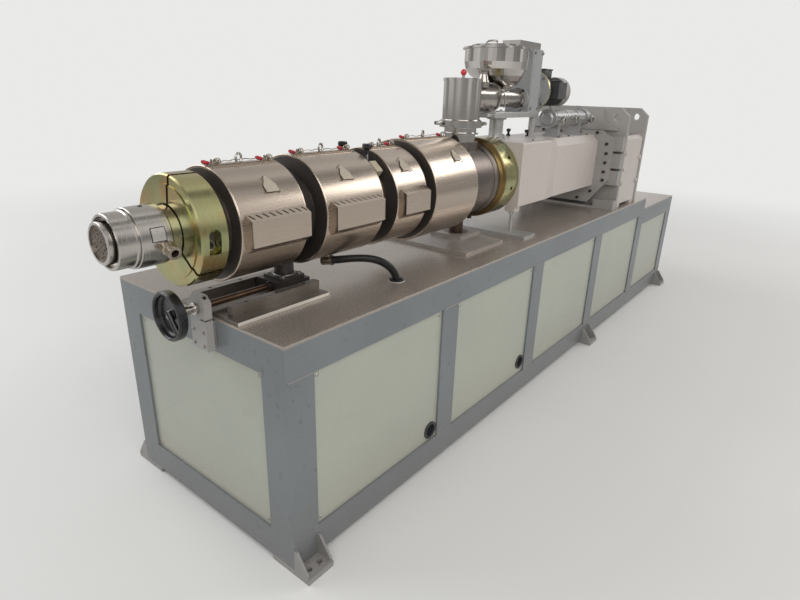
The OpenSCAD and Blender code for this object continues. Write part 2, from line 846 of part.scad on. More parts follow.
module connection_housing() {
    plate_t = 31;
    color("#c4beb8") placed() translate([housing_x, axis_in, axis_h]) difference() {
        union() {
            translate([0, 0, -housing_down]) linear_extrude(housing_down + housing_up) housing_plan();
            for (s = [-1, 1]) translate([0, s * jack_y - lug / 2, -housing_down - lug_down])
                cube([lug, lug, lug_down + eps]);
        }
        for (s = [-1, 1]) chamfer_cut(s);
        for (s = [-1, 1]) translate([0, s * housing_w / 2, housing_up]) rotate([45, 0, 0])
            translate([-eps, -5, -5]) cube([facet_start, 10, 10]);
        for (s = [-1, 1]) translate([plate_t, s * (housing_w / 2 + 1), -housing_down - eps])
            rotate(45) cube([3, 3, 2 * (housing_down + housing_up)], center = true);
        translate([-eps, -housing_w / 2 - eps, housing_up]) rotate([0, 45, 0])
            cube([6, housing_w + 2 * eps, 6], center = false);
    }
}

module levelling_feet() {
    x = housing_x + jack_x;
    plate_len = 110;
    plate_w = 512;
    nut_r = 15;
    nut_h = 12;
    color("#8e8d8a") placed() {
        axis_block(x - 79, deck_h, plate_len, plate_w, support_t);
        for (s = [-1, 1]) {
            upright(x, axis_in + s * jack_y, deck_h + support_t, 8, housing_low - lug_down - deck_h - support_t);
            translate([x, axis_in + s * jack_y, housing_low - lug_down - nut_h - 2])
                cylinder(r = nut_r, h = nut_h, $fn = 6);
        }
    }
}

// Gearbox

module gearbox_neck() {
    flange_w = 510;
    flange_t = 35;
    low = deck_h + 31;
    high = axis_h + 179;
    neck_w = flange_w - 40;
    bosses = 3;
    boss_low = axis_h - 118;
    gap = 14;
    color("#bdb8b3") placed() {
        translate([housing_end, axis_in, 0]) rotate([90, 0, 90]) linear_extrude(flange_t) polygon([
            [-flange_w / 2, low + 135], [-flange_w / 2 + 98, low], [flange_w / 2 - 98, low],
            [flange_w / 2, low + 135], [flange_w / 2, high - 42], [flange_w / 2 - 75, high],
            [-flange_w / 2 + 75, high], [-flange_w / 2, high - 42]
        ]);
        translate([housing_end + flange_t - eps, axis_in, 0]) rotate([90, 0, 90])
            linear_extrude(neck_len - flange_t + eps) polygon([
                [-neck_w / 2, low + 145], [-neck_w / 2 + 98, low + 12], [neck_w / 2 - 98, low + 12],
                [neck_w / 2, low + 145], [neck_w / 2, high - 52], [neck_w / 2 - 75, high - 12],
                [-neck_w / 2 + 75, high - 12], [-neck_w / 2, high - 52]
            ]);
        for (s = [-1, 1], i = [0:bosses - 1])
            axis_block_side(housing_end + flange_t, s, neck_w / 2 - eps, boss_low + i * (80 + gap),
                            neck_len - flange_t, 66, 80);
    }
}

// A block on one side of the screw axis, starting a given distance from it.
module axis_block_side(x, side, from, z, len, wide, high) {
    y = side > 0 ? axis_in + from : axis_in - from - wide;
    translate([x, y, z]) cube([len, wide, high]);
}

module gear_case() {
    slot_h = 18;
    foot = 60;
    inset = 6;
    wide = gear_w - 2 * inset;
    x = gear_x + gear_wall;
    color("#c6c0ba") placed() difference() {
        axis_block(x, deck_h, gear_len, wide, axis_h + gear_up - deck_h);
        axis_block(x + foot, deck_h - eps, gear_len - 2 * foot, wide + 2 * eps, slot_h + eps);
        for (s = [-1, 1]) translate([x, axis_in + s * wide / 2, axis_h + gear_up])
            rotate([45, 0, 0]) translate([-eps, -14, -14]) cube([gear_len + 2 * eps, 28, 28]);
    }
}

// A transverse wall with clipped top corners and a lifting hole near each.
module gear_wall_plate(x) {
    high = axis_h + ear_up;
    half = gear_w / 2;
    difference() {
        translate([x, axis_in, 0]) rotate([90, 0, 90]) linear_extrude(gear_wall) polygon([
            [-half, deck_h], [half, deck_h], [half, high - ear_cut], [half - ear_cut - 6, high],
            [-half + ear_cut + 6, high], [-half, high - ear_cut]
        ]);
        for (s = [-1, 1])
            along_x(x - eps, axis_in + s * (half - ear_hole_in), high - ear_hole_in + 16,
                    ear_hole_r, gear_wall + 2 * eps);
    }
}

// The front wall is thicker in the middle; the thick part ends in hollow curves below the ears.
module wall_pad() {
    half = gear_w / 2 - 50;
    low = axis_h + gear_up + 30;
    high = axis_h + ear_up - 6;
    translate([gear_x - pad_t, axis_in, 0]) rotate([90, 0, 90]) linear_extrude(pad_t + eps) difference() {
        translate([-half, low]) square([2 * half, high - low]);
        for (s = [-1, 1]) {
            translate([s * half, high]) circle(r = pad_curve);
            translate([s * half - pad_curve, high - 10]) square([2 * pad_curve, 20]);
        }
    }
}

module wall_foot() {
    strip_t = 10;
    block_w = 118;
    half = gear_w / 2 + 5;
    axis_block(housing_end + 4, deck_h, neck_len - 4 + eps, 2 * half, strip_t);
    for (s = [-1, 1]) axis_block_side(housing_end + 10, s, half - block_w, deck_h, neck_len - 10 + eps,
                                      block_w, foot_block_h);
}

module gearbox_walls() {
    color("#bdb8b3") placed() {
        gear_wall_plate(gear_x);
        gear_wall_plate(gear_x + gear_wall + gear_len);
        wall_pad();
        wall_foot();
    }
}

module input_shaft() {
    z = axis_h - 60;
    color("#a9a6a1") placed() {
        along_x(gear_end, axis_in, z, 105, 18);
        along_x(gear_end + 18 - eps, axis_in, z, 66, 22 + eps);
        along_x(gear_end + 40 - eps, axis_in, z, shaft_r, 90 + eps);
    }
}

// Oil cooler

module oil_cooler() {
    y = axis_in - 77;
    z = housing_top + 90;
    x = housing_end - 15 - cooler_len;
    saddle = 34;
    port = 11;
    color("#c9c9c7") placed() {
        translate([x, y, z]) rotate([0, 90, 0]) rotate_extrude() polygon([
            [0, -10], [cooler_r - 14, -10], [cooler_r - 8, -6], [cooler_r - 6, 0], [cooler_r + 7, 0],
            [cooler_r + 7, 12], [cooler_r, 12], [cooler_r, cooler_len - 66], [cooler_r + 7, cooler_len - 66],
            [cooler_r + 7, cooler_len - 42], [cooler_r + 2, cooler_len - 40], [cooler_r + 2, cooler_len - 6],
            [cooler_r - 4, cooler_len], [0, cooler_len]
        ]);
        along_x(x + cooler_len - eps, y, z, port + 5, 14 + eps);
        along_x(x + cooler_len + 14 - eps, y, z, port, 16 + eps);
        for (cx = [x + 40, x + cooler_len - 92]) {
            translate([cx, y, z]) rotate([0, 0, 0]) cylinder(r = port, h = cooler_r + 22);
            translate([cx, y, z + cooler_r + 12]) cylinder(r = port + 4, h = 10, $fn = 6);
        }
        for (cx = [x + 64, x + cooler_len - 140]) difference() {
            block([cx, y - cooler_r - 6, housing_top], [saddle, 2 * cooler_r + 12, z - housing_top - 12]);
            translate([cx - eps, y - cooler_r - 6 - eps, housing_top + 12])
                cube([saddle + 2 * eps, 14, z]);
            translate([cx - eps, y + cooler_r - 8 + eps, housing_top + 12])
                cube([saddle + 2 * eps, 14 + eps, z]);
        }
    }
}

// Feed throat

module feed_throat() {
    bead = 6;
    color("#b9b4ad") placed() difference() {
        translate([throat_x, axis_in, 0]) rotate_extrude() polygon([
            [neck_r - sheet_t, pad_top], [neck_r, pad_top], [neck_r, throat_clamp_h - 36],
            [throat_r - 2, throat_clamp_h - 34], [throat_r - 2, throat_clamp_h - 34 + bead],
            [neck_r + 3, throat_clamp_h - 26], [neck_r + 3, throat_clamp_h - 10],
            [throat_r + 10, throat_clamp_h - 7], [throat_r + 10, throat_clamp_h],
            [neck_r - sheet_t, throat_clamp_h]
        ]);
        upright(throat_x, axis_in, axis_h, throat_r, pad_top - axis_h + fit);
    }
}

module throat_clamp() {
    gap = 8;
    turn = -35;
    ear = 34;
    color("#c9c5bd") placed() translate([throat_x, axis_in, throat_clamp_h]) difference() {
        union() {
            cylinder(r = throat_r + 16, h = throat_clamp_t);
            for (a = [turn, turn + 180]) rotate(a)
                translate([throat_r, -15, 1]) cube([ear, 30, throat_clamp_t - 2]);
        }
        translate([0, 0, -eps]) cylinder(r = throat_r - sheet_t - 2, h = throat_clamp_t + 2 * eps);
        for (a = [turn, turn + 180]) rotate(a)
            translate([throat_r + 6, -gap / 2, -eps]) cube([ear + eps, gap, throat_clamp_t + 2 * eps]);
    }
}

module feed_cylinder() {
    color("#c9c5bd") placed() translate([throat_x, axis_in, 0]) rotate_extrude() polygon([
        [throat_r - sheet_t, cylinder_low], [throat_r + 8, cylinder_low], [throat_r + 8, cylinder_low + 5],
        [throat_r, cylinder_low + 8], [throat_r, throat_top], [throat_r - sheet_t, throat_top]
    ]);
}

module cylinder_lid() {
    skirt = 8;
    knob_r = 12;
    color("#c9c5bd") placed() translate([throat_x, axis_in, 0]) {
        rotate_extrude() polygon([
            [0, throat_top], [throat_r + fit, throat_top], [throat_r + fit, throat_top - skirt],
            [throat_r + 3, throat_top - skirt], [throat_r + 3, throat_top + lid_t - 2],
            [throat_r + 1, throat_top + lid_t], [6, throat_top + lid_t], [6, throat_top + lid_t + 12],
            [0, throat_top + lid_t + 12]
        ]);
        translate([0, 0, throat_top + lid_t + 10 + knob_r]) sphere(r = knob_r);
    }
}

// Screw feeder

module feeder_stand() {
    length = case_end + 6 - stand_x;
    column_r = 32;
    rim = 10;
    color("#a7a9ac") placed() {
        axis_block(stand_x, stand_low, length, stand_w, stand_t);
        axis_block(stand_x - 40, stand_low + 5, 60, stand_w - 24, stand_t - 12);
        translate([column_x, axis_in, 0]) rotate_extrude() polygon([
            [0, housing_top], [column_r + 16, housing_top], [column_r + 16, housing_top + rim],
            [column_r, housing_top + rim], [column_r, stand_low - rim], [column_r + 12, stand_low - rim],
            [column_r + 12, stand_low + eps], [0, stand_low + eps]
        ]);
        axis_block(column_x + 164, housing_top, 90, 110, stand_low - housing_top + eps);
        axis_block(column_x + 150, housing_top, 118, 126, rim);
    }
}

module metering_barrel() {
    flange = 12;
    flange_out = feeder_up - 1;
    cap_x = throat_x + 104;
    cap_in = 34;
    end_x = throat_x + throat_r + outlet_end_len;
    color("#b7b2aa") placed() {
        difference() {
            union() {
                translate([0, axis_in, feeder_h]) rotate([0, 90, 0]) rotate_extrude() polygon([
                    [0, throat_x], [outlet_end_r, throat_x], [outlet_end_r, end_x - 10],
                    [flange_out, end_x - 10], [flange_out, end_x], [feeder_r, end_x],
                    [feeder_r, case_x - flange - 14], [feeder_r + 6, case_x - flange],
                    [flange_out, case_x - flange], [flange_out, case_x], [0, case_x]
                ]);
                upright(outlet_x, axis_in, feeder_h, outlet_r, hopper_low - feeder_h);
                axis_block(end_x - 60, case_low, 50, 70, feeder_h - case_low);
            }
            upright(throat_x, axis_in, feeder_h - 2 * outlet_end_r, throat_r + fit, 4 * outlet_end_r);
            upright(outlet_x, axis_in, feeder_h, outlet_r - sheet_t, hopper_low - feeder_h + eps);
        }
        translate([cap_x, axis_in - cap_in, feeder_h + outlet_end_r - 18]) rotate_extrude()
            polygon([[0, 0], [25, 0], [25, 22], [16, 52], [16, 62], [22, 66], [22, 74], [5, 79], [0, 79]]);
    }
}

// The hopper: a straight rim over a round bowl that leads to an offset outlet.
// Each ring of the bowl is [share of the depth, share of the radius].
bowl = [[0.28, 0.96], [0.54, 0.85], [0.75, 0.68], [0.9, 0.46]];

module hopper_shape(grow) {
    straight = 56;
    deep = hopper_top - straight - hopper_low;
    hull() {
        translate([hopper_x, axis_in, hopper_top - straight])
            cylinder(r = hopper_r + grow, h = straight, $fn = 48);
        for (ring = bowl)
            translate([hopper_x + (outlet_x - hopper_x) * pow(ring[0], 3), axis_in,
                       hopper_top - straight - deep * ring[0]])
                cylinder(r = hopper_r * ring[1] + grow, h = 0.5, $fn = 48);
        translate([outlet_x, axis_in, hopper_low]) cylinder(r = outlet_r + grow, h = 6, $fn = 48);
    }
}

module hopper() {
    color("#c4bfb7") placed() difference() {
        union() {
            hopper_shape(0);
            upright(hopper_x, axis_in, hopper_top - 5, hopper_r + 10, 5);
        }
        translate([0, 0, sheet_t + 1]) hopper_shape(-sheet_t);
        upright(hopper_x, axis_in, hopper_top - 6, hopper_r - sheet_t, 10);
        upright(outlet_x, axis_in, hopper_low - eps, outlet_r - sheet_t, 14);
    }
}

module hopper_lid() {
    bracket_start = hopper_x + hopper_r - 14;
    color("#bab8b4") placed() {
        upright(hopper_x, axis_in, hopper_top, hopper_r + 4, lid_t);
        upright(hopper_x, axis_in, hopper_top + lid_t - eps, hopper_r - 30, 10);
        axis_block(bracket_start - 20, hopper_top + lid_t - eps, 60, 70, case_up - lid_t + 2 * eps);
        axis_block(bracket_start, case_top, case_end + 4 - bracket_start, 90, 31);
    }
}

module feeder_case() {
    edge = 6;
    half = case_w / 2;
    color("#a4a8ab") placed() {
        translate([0, 0, case_low]) linear_extrude(case_top - case_low) translate([case_x, axis_in]) polygon([
            [0, -half + edge], [edge, -half], [case_len - edge, -half], [case_len, -half + edge],
            [case_len, half - edge], [case_len - edge, half], [edge, half], [0, half - edge]
        ]);
        translate([case_end, axis_in, motor_h]) rotate([0, 90, 0]) rotate_extrude() polygon([
            [0, -eps], [62, -eps], [62, 8], [54, 14], [54, ring_len - 10], [motor_r + 22, ring_len - 6],
            [motor_r + 22, ring_len], [0, ring_len]
        ]);
    }
}

module feeder_motor() {
    start = case_end + ring_len;
    z = motor_h;
    fins = 28;
    core = motor_r - 11;
    cowl = 74;
    color("#3a3c3e") placed() difference() {
        union() {
            translate([start, axis_in, z]) rotate([0, 90, 0]) rotate_extrude() polygon([
                [0, 0], [motor_r + 22, 0], [motor_r + 22, 12], [motor_r - 2, 14], [motor_r - 4, 24],
                [core, 24], [core, motor_len - cowl], [motor_r, motor_len - cowl], [motor_r, motor_len - 8],
                [motor_r - 8, motor_len], [0, motor_len]
            ]);
            for (i = [0:fins - 1]) translate([start + 20, axis_in, z]) rotate([i * 360 / fins, 0, 0])
                translate([0, -1.5, core - 3]) cube([motor_len - cowl - 14, 3, 13]);
            axis_block_side(start + 90, -1, motor_r - 20, z - 34, 96, 48, 78);
        }
        for (ring = [[20, 8], [36, 14], [52, 20]], i = [0:ring[1] - 1])
            translate([start + motor_len - 4, axis_in, z]) rotate([i * 360 / ring[1], 0, 0])
                translate([0, 0, ring[0]]) rotate([0, 90, 0]) cylinder(r = 4, h = 8, $fn = 16);
    }
}

feet();
bottom_rails();
top_rails();
tail_rails();
cross_rails();
posts();
operator_panels();
plain_panels();
deck_plates();
grommets();
ribbed_hose();
slide_bed();
carriage();
front_support();
screw_bracket();
lead_screw();
handwheel();
rear_support();
barrel();
breaker_plate();
die_adapter();
pressure_port();
clamp_segments();
heater_1();
heater_2();
heater_3();
heater_4();
lock_collar();
connection_housing();
levelling_feet();
gearbox_neck();
gear_case();
gearbox_walls();
input_shaft();
oil_cooler();
feed_throat();
throat_clamp();
feed_cylinder();
cylinder_lid();
feeder_stand();
metering_barrel();
hopper();
hopper_lid();
feeder_case();
feeder_motor();
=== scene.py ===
"""The look of a conical twin-screw plastic extruder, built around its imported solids."""
import logging
import math
from dataclasses import dataclass
from enum import Enum

import bmesh
import bpy
from mathutils import Matrix, Vector


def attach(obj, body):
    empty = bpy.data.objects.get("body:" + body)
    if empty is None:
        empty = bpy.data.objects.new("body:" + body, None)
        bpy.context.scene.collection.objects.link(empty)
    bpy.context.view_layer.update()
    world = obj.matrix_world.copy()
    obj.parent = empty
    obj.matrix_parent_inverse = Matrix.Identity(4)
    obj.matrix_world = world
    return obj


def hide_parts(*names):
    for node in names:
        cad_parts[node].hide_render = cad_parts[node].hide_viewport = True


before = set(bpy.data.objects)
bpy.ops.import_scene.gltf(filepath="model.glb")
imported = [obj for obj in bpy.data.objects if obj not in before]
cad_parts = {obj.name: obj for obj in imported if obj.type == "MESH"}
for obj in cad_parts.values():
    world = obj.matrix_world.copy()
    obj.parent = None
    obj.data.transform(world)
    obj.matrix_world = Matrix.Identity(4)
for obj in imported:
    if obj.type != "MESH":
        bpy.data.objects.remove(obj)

logging.basicConfig(level=logging.INFO, format="%(message)s")
LOG = logging.getLogger("extruder")

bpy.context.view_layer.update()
MACHINE = "machine"
WHEEL = "handwheel"

# Stations along the machine are counted from the die end of the frame, as in the drawing.
HALF_LENGTH = 1875.0
HALF_WIDTH = 418.0
AXIS_Y = 327.0
AXIS_Z = 1001.0
DECK = 746.0
SCREW_Z = 775.0


def at(x: float, y: float, z: float) -> Vector:
    """Turns a station in millimetres into a place in metres."""
    return Vector(((x - HALF_LENGTH) / 1000, (y - HALF_WIDTH) / 1000, z / 1000))


def round_axis(x: float, radius: float, degrees: float) -> Vector:
    """Gives a place at a radius and an angle round the screw axis."""
    a = math.radians(degrees)
    return at(x, AXIS_Y + radius * math.cos(a), AXIS_Z + radius * math.sin(a))


def outward(degrees: float) -> Vector:
    """Gives the direction away from the screw axis at an angle."""
    a = math.radians(degrees)
    return Vector((0, math.cos(a), math.sin(a)))


class Way(Enum):
    """Directions that a piece's own up axis can be laid along."""

    UP = (0, 0, 1)
    DOWN = (0, 0, -1)
    FRONT = (-1, 0, 0)
    BACK = (1, 0, 0)
    NEAR = (0, -1, 0)
    FAR = (0, 1, 0)

    def vector(self) -> Vector:
        """Returns the direction as a vector."""
        return Vector(self.value)


# Finishes


class Grain(Enum):
    """How the fine lines of a finish run."""

    NONE = (60.0, 60.0, 60.0)
    ALONG_X = (6.0, 420.0, 420.0)
    BRUSHED_X = (2.5, 900.0, 900.0)
    ALONG_Z = (420.0, 420.0, 6.0)
    ROUND_X = (520.0, 9.0, 9.0)
    ROUND_Z = (9.0, 9.0, 520.0)
    FINE = (260.0, 260.0, 260.0)


@dataclass(frozen=True)
class Finish:
    """One surface finish and everything its nodes need."""

    name: str
    colour: tuple[float, float, float]
    shade: tuple[float, float, float]
    rough: float
    metal: float = 0.0
    grain: Grain = Grain.NONE
    grain_depth: float = 0.15
    patch: float = 4.0
    patch_amount: float = 0.5
    rough_spread: float = 0.08
    bump: float = 0.1
    bump_distance: float = 0.0004
    speck: tuple[float, float, float] | None = None
    speck_size: float = 38.0
    speck_amount: float = 0.12
    dust: tuple[float, float, float] | None = None
    dust_low: float = 0.0
    dust_high: float = 0.3
    third: tuple[float, float, float] | None = None
    round_spot: tuple[float, float, float] | None = None
    spot_colour: tuple[float, float, float] = (0.1, 0.05, 0.03)
    coat: float = 0.0
    stretch: tuple[float, float, float] = (1.0, 1.0, 1.0)


class FinishMaker:
    """Turns a finish into a node material."""

    def __init__(self, finish: Finish) -> None:
        """Starts an empty material for the finish."""
        self.finish = finish
        self.material = bpy.data.materials.new(finish.name)
        self.material.use_nodes = True
        self.tree = self.material.node_tree
        self.shader = self.tree.nodes["Principled BSDF"]
        self.coords = self.node("ShaderNodeTexCoord")
        self.column = 0

    def node(self, kind: str, **values: object) -> bpy.types.Node:
        """Adds a node and sets its plain properties."""
        made = self.tree.nodes.new(kind)
        for key, value in values.items():
            setattr(made, key, value)
        return made

    def link(self, a: bpy.types.NodeSocket, b: bpy.types.NodeSocket) -> None:
        """Joins two sockets."""
        self.tree.links.new(a, b)

    def noise(self, scale: tuple[float, float, float], detail: float = 3.0) -> bpy.types.NodeSocket:
        """Adds a stretched noise in object space.

        Args:
            scale: how often the noise repeats per metre along each axis.
            detail: how many finer layers it has.

        Returns:
            The socket with the noise value.
        """
        place = self.node("ShaderNodeMapping")
        place.inputs["Scale"].default_value = scale
        self.link(self.coords.outputs["Object"], place.inputs["Vector"])
        noise = self.node("ShaderNodeTexNoise")
        noise.inputs["Scale"].default_value = 1.0
        noise.inputs["Detail"].default_value = detail
        self.link(place.outputs["Vector"], noise.inputs["Vector"])
        return noise.outputs["Fac"]

    def ramp(self, value: bpy.types.NodeSocket, low: float, high: float,
             to_low: float = 0.0, to_high: float = 1.0) -> bpy.types.NodeSocket:
        """Stretches a value between two limits and returns the new socket."""
        span = self.node("ShaderNodeMapRange")
        span.inputs["From Min"].default_value = low
        span.inputs["From Max"].default_value = high
        span.inputs["To Min"].default_value = to_low
        span.inputs["To Max"].default_value = to_high
        self.link(value, span.inputs["Value"])
        return span.outputs["Result"]

    def mix(self, amount: bpy.types.NodeSocket, a: object, b: object) -> bpy.types.NodeSocket:
        """Mixes two colours, each a socket or plain numbers, and returns the result."""
        blend = self.node("ShaderNodeMix", data_type="RGBA")
        self.link(amount, blend.inputs[0])
        for socket, colour in ((blend.inputs[6], a), (blend.inputs[7], b)):
            if isinstance(colour, tuple):
                socket.default_value = (*colour, 1.0)
            else:
                self.link(colour, socket)
        return blend.outputs[2]

    def build(self) -> bpy.types.Material:
        """Adds every layer of the finish.

        Returns:
            The finished material.
        """
        f = self.finish
        patch = self.noise(tuple(f.patch * s for s in f.stretch), 4.0)
        colour = self.mix(self.ramp(patch, 0.32, 0.68, 0.0, f.patch_amount), f.colour, f.shade)
        if f.third is not None:
            hue = self.noise(tuple(f.patch * 1.7 * s for s in f.stretch), 2.0)
            colour = self.mix(self.ramp(hue, 0.45, 0.7, 0.0, 0.85), colour, f.third)
        lines = self.noise(f.grain.value, 2.0)
        dark = tuple(c * 0.55 for c in f.colour)
        colour = self.mix(self.ramp(lines, 0.5, 0.8, 0.0, f.grain_depth), colour, dark)
        if f.speck is not None:
            spots = self.noise((f.speck_size,) * 3, 6.0)
            colour = self.mix(self.ramp(spots, 0.62, 0.7, 0.0, f.speck_amount), colour, f.speck)
        if f.round_spot is not None:
            x, y, reach = f.round_spot
            middle = self.node("ShaderNodeMapping")
            middle.inputs["Location"].default_value = (-x, -y, 0)
            middle.inputs["Scale"].default_value = (1, 1, 0)
            self.link(self.coords.outputs["Object"], middle.inputs["Vector"])
            away = self.node("ShaderNodeVectorMath", operation="LENGTH")
            self.link(middle.outputs["Vector"], away.inputs[0])
            near = self.ramp(away.outputs["Value"], reach * 1.25, reach)
            rust = self.mix(self.ramp(patch, 0.35, 0.6), f.spot_colour, tuple(0.45 * c for c in f.spot_colour))
            colour = self.mix(near, colour, rust)
        if f.dust is not None:
            split = self.node("ShaderNodeSeparateXYZ")
            self.link(self.coords.outputs["Object"], split.inputs["Vector"])
            low = self.ramp(split.outputs["Z"], f.dust_high, f.dust_low)
            colour = self.mix(low, colour, f.dust)
        self.link(colour, self.shader.inputs["Base Color"])
        spread = self.ramp(lines, 0.3, 0.7, f.rough - f.rough_spread, f.rough + f.rough_spread)
        self.link(spread, self.shader.inputs["Roughness"])
        self.shader.inputs["Metallic"].default_value = f.metal
        self.shader.inputs["Coat Weight"].default_value = f.coat
        relief = self.node("ShaderNodeBump")
        relief.inputs["Strength"].default_value = f.bump
        relief.inputs["Distance"].default_value = f.bump_distance
        self.link(lines, relief.inputs["Height"])
        self.link(relief.outputs["Normal"], self.shader.inputs["Normal"])
        LOG.info("finish %s", f.name)
        return self.material


# Ways of working that every piece shares


def only(*pieces: bpy.types.Object) -> None:
    """Selects these pieces and nothing else, in object mode."""
    if bpy.context.mode != "OBJECT":
        bpy.ops.object.mode_set(mode="OBJECT")
    bpy.ops.object.select_all(action="DESELECT")
    for piece in pieces:
        piece.select_set(True)
        bpy.context.view_layer.objects.active = piece


def edit(piece: bpy.types.Object) -> None:
    """Opens one piece for editing with everything in it selected."""
    only(piece)
    bpy.ops.object.mode_set(mode="EDIT")
    bpy.ops.mesh.select_all(action="SELECT")


def close(piece: bpy.types.Object, smooth: float = 35.0) -> bpy.types.Object:
    """Turns the faces outward, leaves edit mode and smooths gentle edges."""
    if bpy.context.mode != "OBJECT":
        bpy.ops.mesh.select_all(action="SELECT")
        bpy.ops.mesh.normals_make_consistent(inside=False)
    only(piece)
    bpy.ops.object.shade_smooth_by_angle(angle=math.radians(smooth))
    return piece


def settle(piece: bpy.types.Object) -> None:
    """Moves a piece's place, turn and scale into its mesh."""
    only(piece)
    bpy.ops.object.transform_apply(location=True, rotation=True, scale=True)


def from_points(name: str, points: list, edges: list, faces: list) -> bpy.types.Object:
    """Makes a piece from points in millimetres."""
    mesh = bpy.data.meshes.new(name)
    mesh.from_pydata([tuple(c / 1000 for c in p) for p in points], edges, faces)
    piece = bpy.data.objects.new(name, mesh)
    bpy.context.collection.objects.link(piece)
    return piece


def turned(name: str, profile: list[tuple[float, float]], steps: int = 32) -> bpy.types.Object:
    """Turns a half outline round the piece's own up axis.

    Args:
        name: the piece's name.
        profile: (radius, height) pairs in millimetres, from the bottom round to the top.
        steps: how many faces go round.

    Returns:
        The turned piece, standing at the origin.
    """
    chain = [(i, i + 1) for i in range(len(profile) - 1)]
    piece = from_points(name, [(r, 0, h) for r, h in profile], chain, [])
    edit(piece)
    bpy.ops.mesh.spin(steps=steps, angle=math.tau, center=(0, 0, 0), axis=(0, 0, 1))
    bpy.ops.mesh.select_all(action="SELECT")
    bpy.ops.mesh.remove_doubles(threshold=0.00002)
    return close(piece)


def drawn(name: str, outline: list[tuple[float, float]], depth: float, edge: float = 0.8) -> bpy.types.Object:
    """Pushes a flat outline up into a plate with broken edges.

    Args:
        name: the piece's name.
        outline: corners in millimetres, counted round once.
        depth: thickness in millimetres.
        edge: width of the broken edge in millimetres, or 0 for none.

    Returns:
        The plate, lying on the origin.
    """
    piece = from_points(name, [(x, y, 0) for x, y in outline], [], [tuple(range(len(outline)))])
    edit(piece)
    bpy.ops.mesh.extrude_region_move(TRANSFORM_OT_translate={"value": (0, 0, depth / 1000)})
    bpy.ops.mesh.select_all(action="SELECT")
    bpy.ops.mesh.normals_make_consistent(inside=False)
    if edge:
        bpy.ops.mesh.bevel(offset=edge / 1000, segments=2, affect="EDGES")
    return close(piece)


def boxed(name: str, size: tuple[float, float, float], edge: float = 1.0) -> bpy.types.Object:
    """Makes a block with broken edges, standing on the origin."""
    x, y = size[0] / 2, size[1] / 2
    return drawn(name, [(-x, -y), (x, -y), (x, y), (-x, y)], size[2], edge)


def wire(name: str, points: list[Vector], radius: float, closed: bool = False,
         sides: int = 3) -> bpy.types.Object:
    """Bends a round wire through points.

    Args:
        name: the piece's name.
        points: places in metres.
        radius: half the wire's thickness in millimetres.
        closed: whether the ends meet.
        sides: how round the wire is.

    Returns:
        The wire as a mesh.
    """
    line = bpy.data.curves.new(name, "CURVE")
    line.dimensions = "3D"
    line.bevel_depth = radius / 1000
    line.bevel_resolution = sides
    line.use_fill_caps = True
    path = line.splines.new("NURBS")
    path.points.add(len(points) - 1)
    for spot, point in zip(path.points, points):
        spot.co = (*point, 1.0)
    path.use_cyclic_u = closed
    path.use_endpoint_u = not closed
    path.order_u = 3
    path.resolution_u = 4
    piece = bpy.data.objects.new(name, line)
    bpy.context.collection.objects.link(piece)
    only(piece)
    bpy.ops.object.convert(target="MESH")
    return close(piece)


def cut(piece: bpy.types.Object, *cutters: bpy.types.Object) -> bpy.types.Object:
    """Takes other pieces out of a piece and throws them away."""
    for cutter in cutters:
        only(piece)
        bpy.ops.object.modifier_add(type="BOOLEAN")
        trim = piece.modifiers[-1]
        trim.object = cutter
        trim.operation = "DIFFERENCE"
        trim.solver = "EXACT"
        bpy.ops.object.modifier_apply(modifier=trim.name)
        only(cutter)
        bpy.ops.object.delete()
    return close(piece)


def one(name: str, *pieces: bpy.types.Object) -> bpy.types.Object:
    """Joins pieces into one under a name."""
    only(*pieces)
    if len(pieces) > 1:
        bpy.ops.object.join()
    joined = bpy.context.view_layer.objects.active
    joined.name = name
    joined.data.name = name
    return joined


def lay(piece: bpy.types.Object, place: Vector, up: Vector = Vector((0, 0, 1)),
        turn: float = 0.0) -> bpy.types.Object:
    """Stands a piece at a place with its own up axis along a direction.

    Args:
        piece: a piece that stands at the origin.
        place: where its foot goes, in metres.
        up: where its up axis points.
        turn: how far it is turned about that axis, in degrees.

    Returns:
        The same piece, with its place in its mesh.
    """
    spin = Matrix.Rotation(math.radians(turn), 4, "Z")
    piece.matrix_world = Matrix.Translation(place) @ up.to_track_quat("Z", "Y").to_matrix().to_4x4() @ spin
    settle(piece)
    return piece


def copies(model: bpy.types.Object, name: str, spots: list[tuple]) -> bpy.types.Object:
    """Copies a model to many places and joins the copies.

    Args:
        model: the piece that is copied; it stays at the origin.
        name: the joined piece's name.
        spots: (place, up) or (place, up, turn) for each copy.

    Returns:
        The joined piece.
    """
    made = []
    for spot in spots:
        only(model)
        bpy.ops.object.duplicate(linked=False)
        made.append(lay(bpy.context.view_layer.objects.active, *spot))
    return one(name, *made)


class Dressing:
    """Keeps the finishes, and gives each piece its finish and its body."""

    def __init__(self) -> None:
        """Starts with no finishes made."""
        self.made: dict[str, bpy.types.Material] = {}
        self.count = 0

    def material(self, finish: Finish) -> bpy.types.Material:
        """Makes a finish once and returns its material."""
        if finish.name not in self.made:
            self.made[finish.name] = FinishMaker(finish).build()
        return self.made[finish.name]

    def piece(self, piece: bpy.types.Object, finish: Finish, slot: str,
              body: str = MACHINE) -> bpy.types.Object:
        """Finishes a new piece and lets it ride on a body.

        Args:
            piece: the finished shape.
            finish: its surface.
            slot: the record's material slot; not used.
            body: the moving body that carries it.

        Returns:
            The same piece.
        """
        piece.data.materials.clear()
        piece.data.materials.append(self.material(finish))
        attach(piece, body)
        self.count += 1
        LOG.info("piece %s: %d faces", piece.name, len(piece.data.polygons))
        return piece

    def node(self, name: str, finish: Finish) -> None:
        """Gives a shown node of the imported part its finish."""
        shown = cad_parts[name]
        if not shown.material_slots:
            shown.data.materials.append(None)
        for place in shown.material_slots:
            place.material = self.material(finish)
        LOG.info("node %s: %s", name, finish.name)


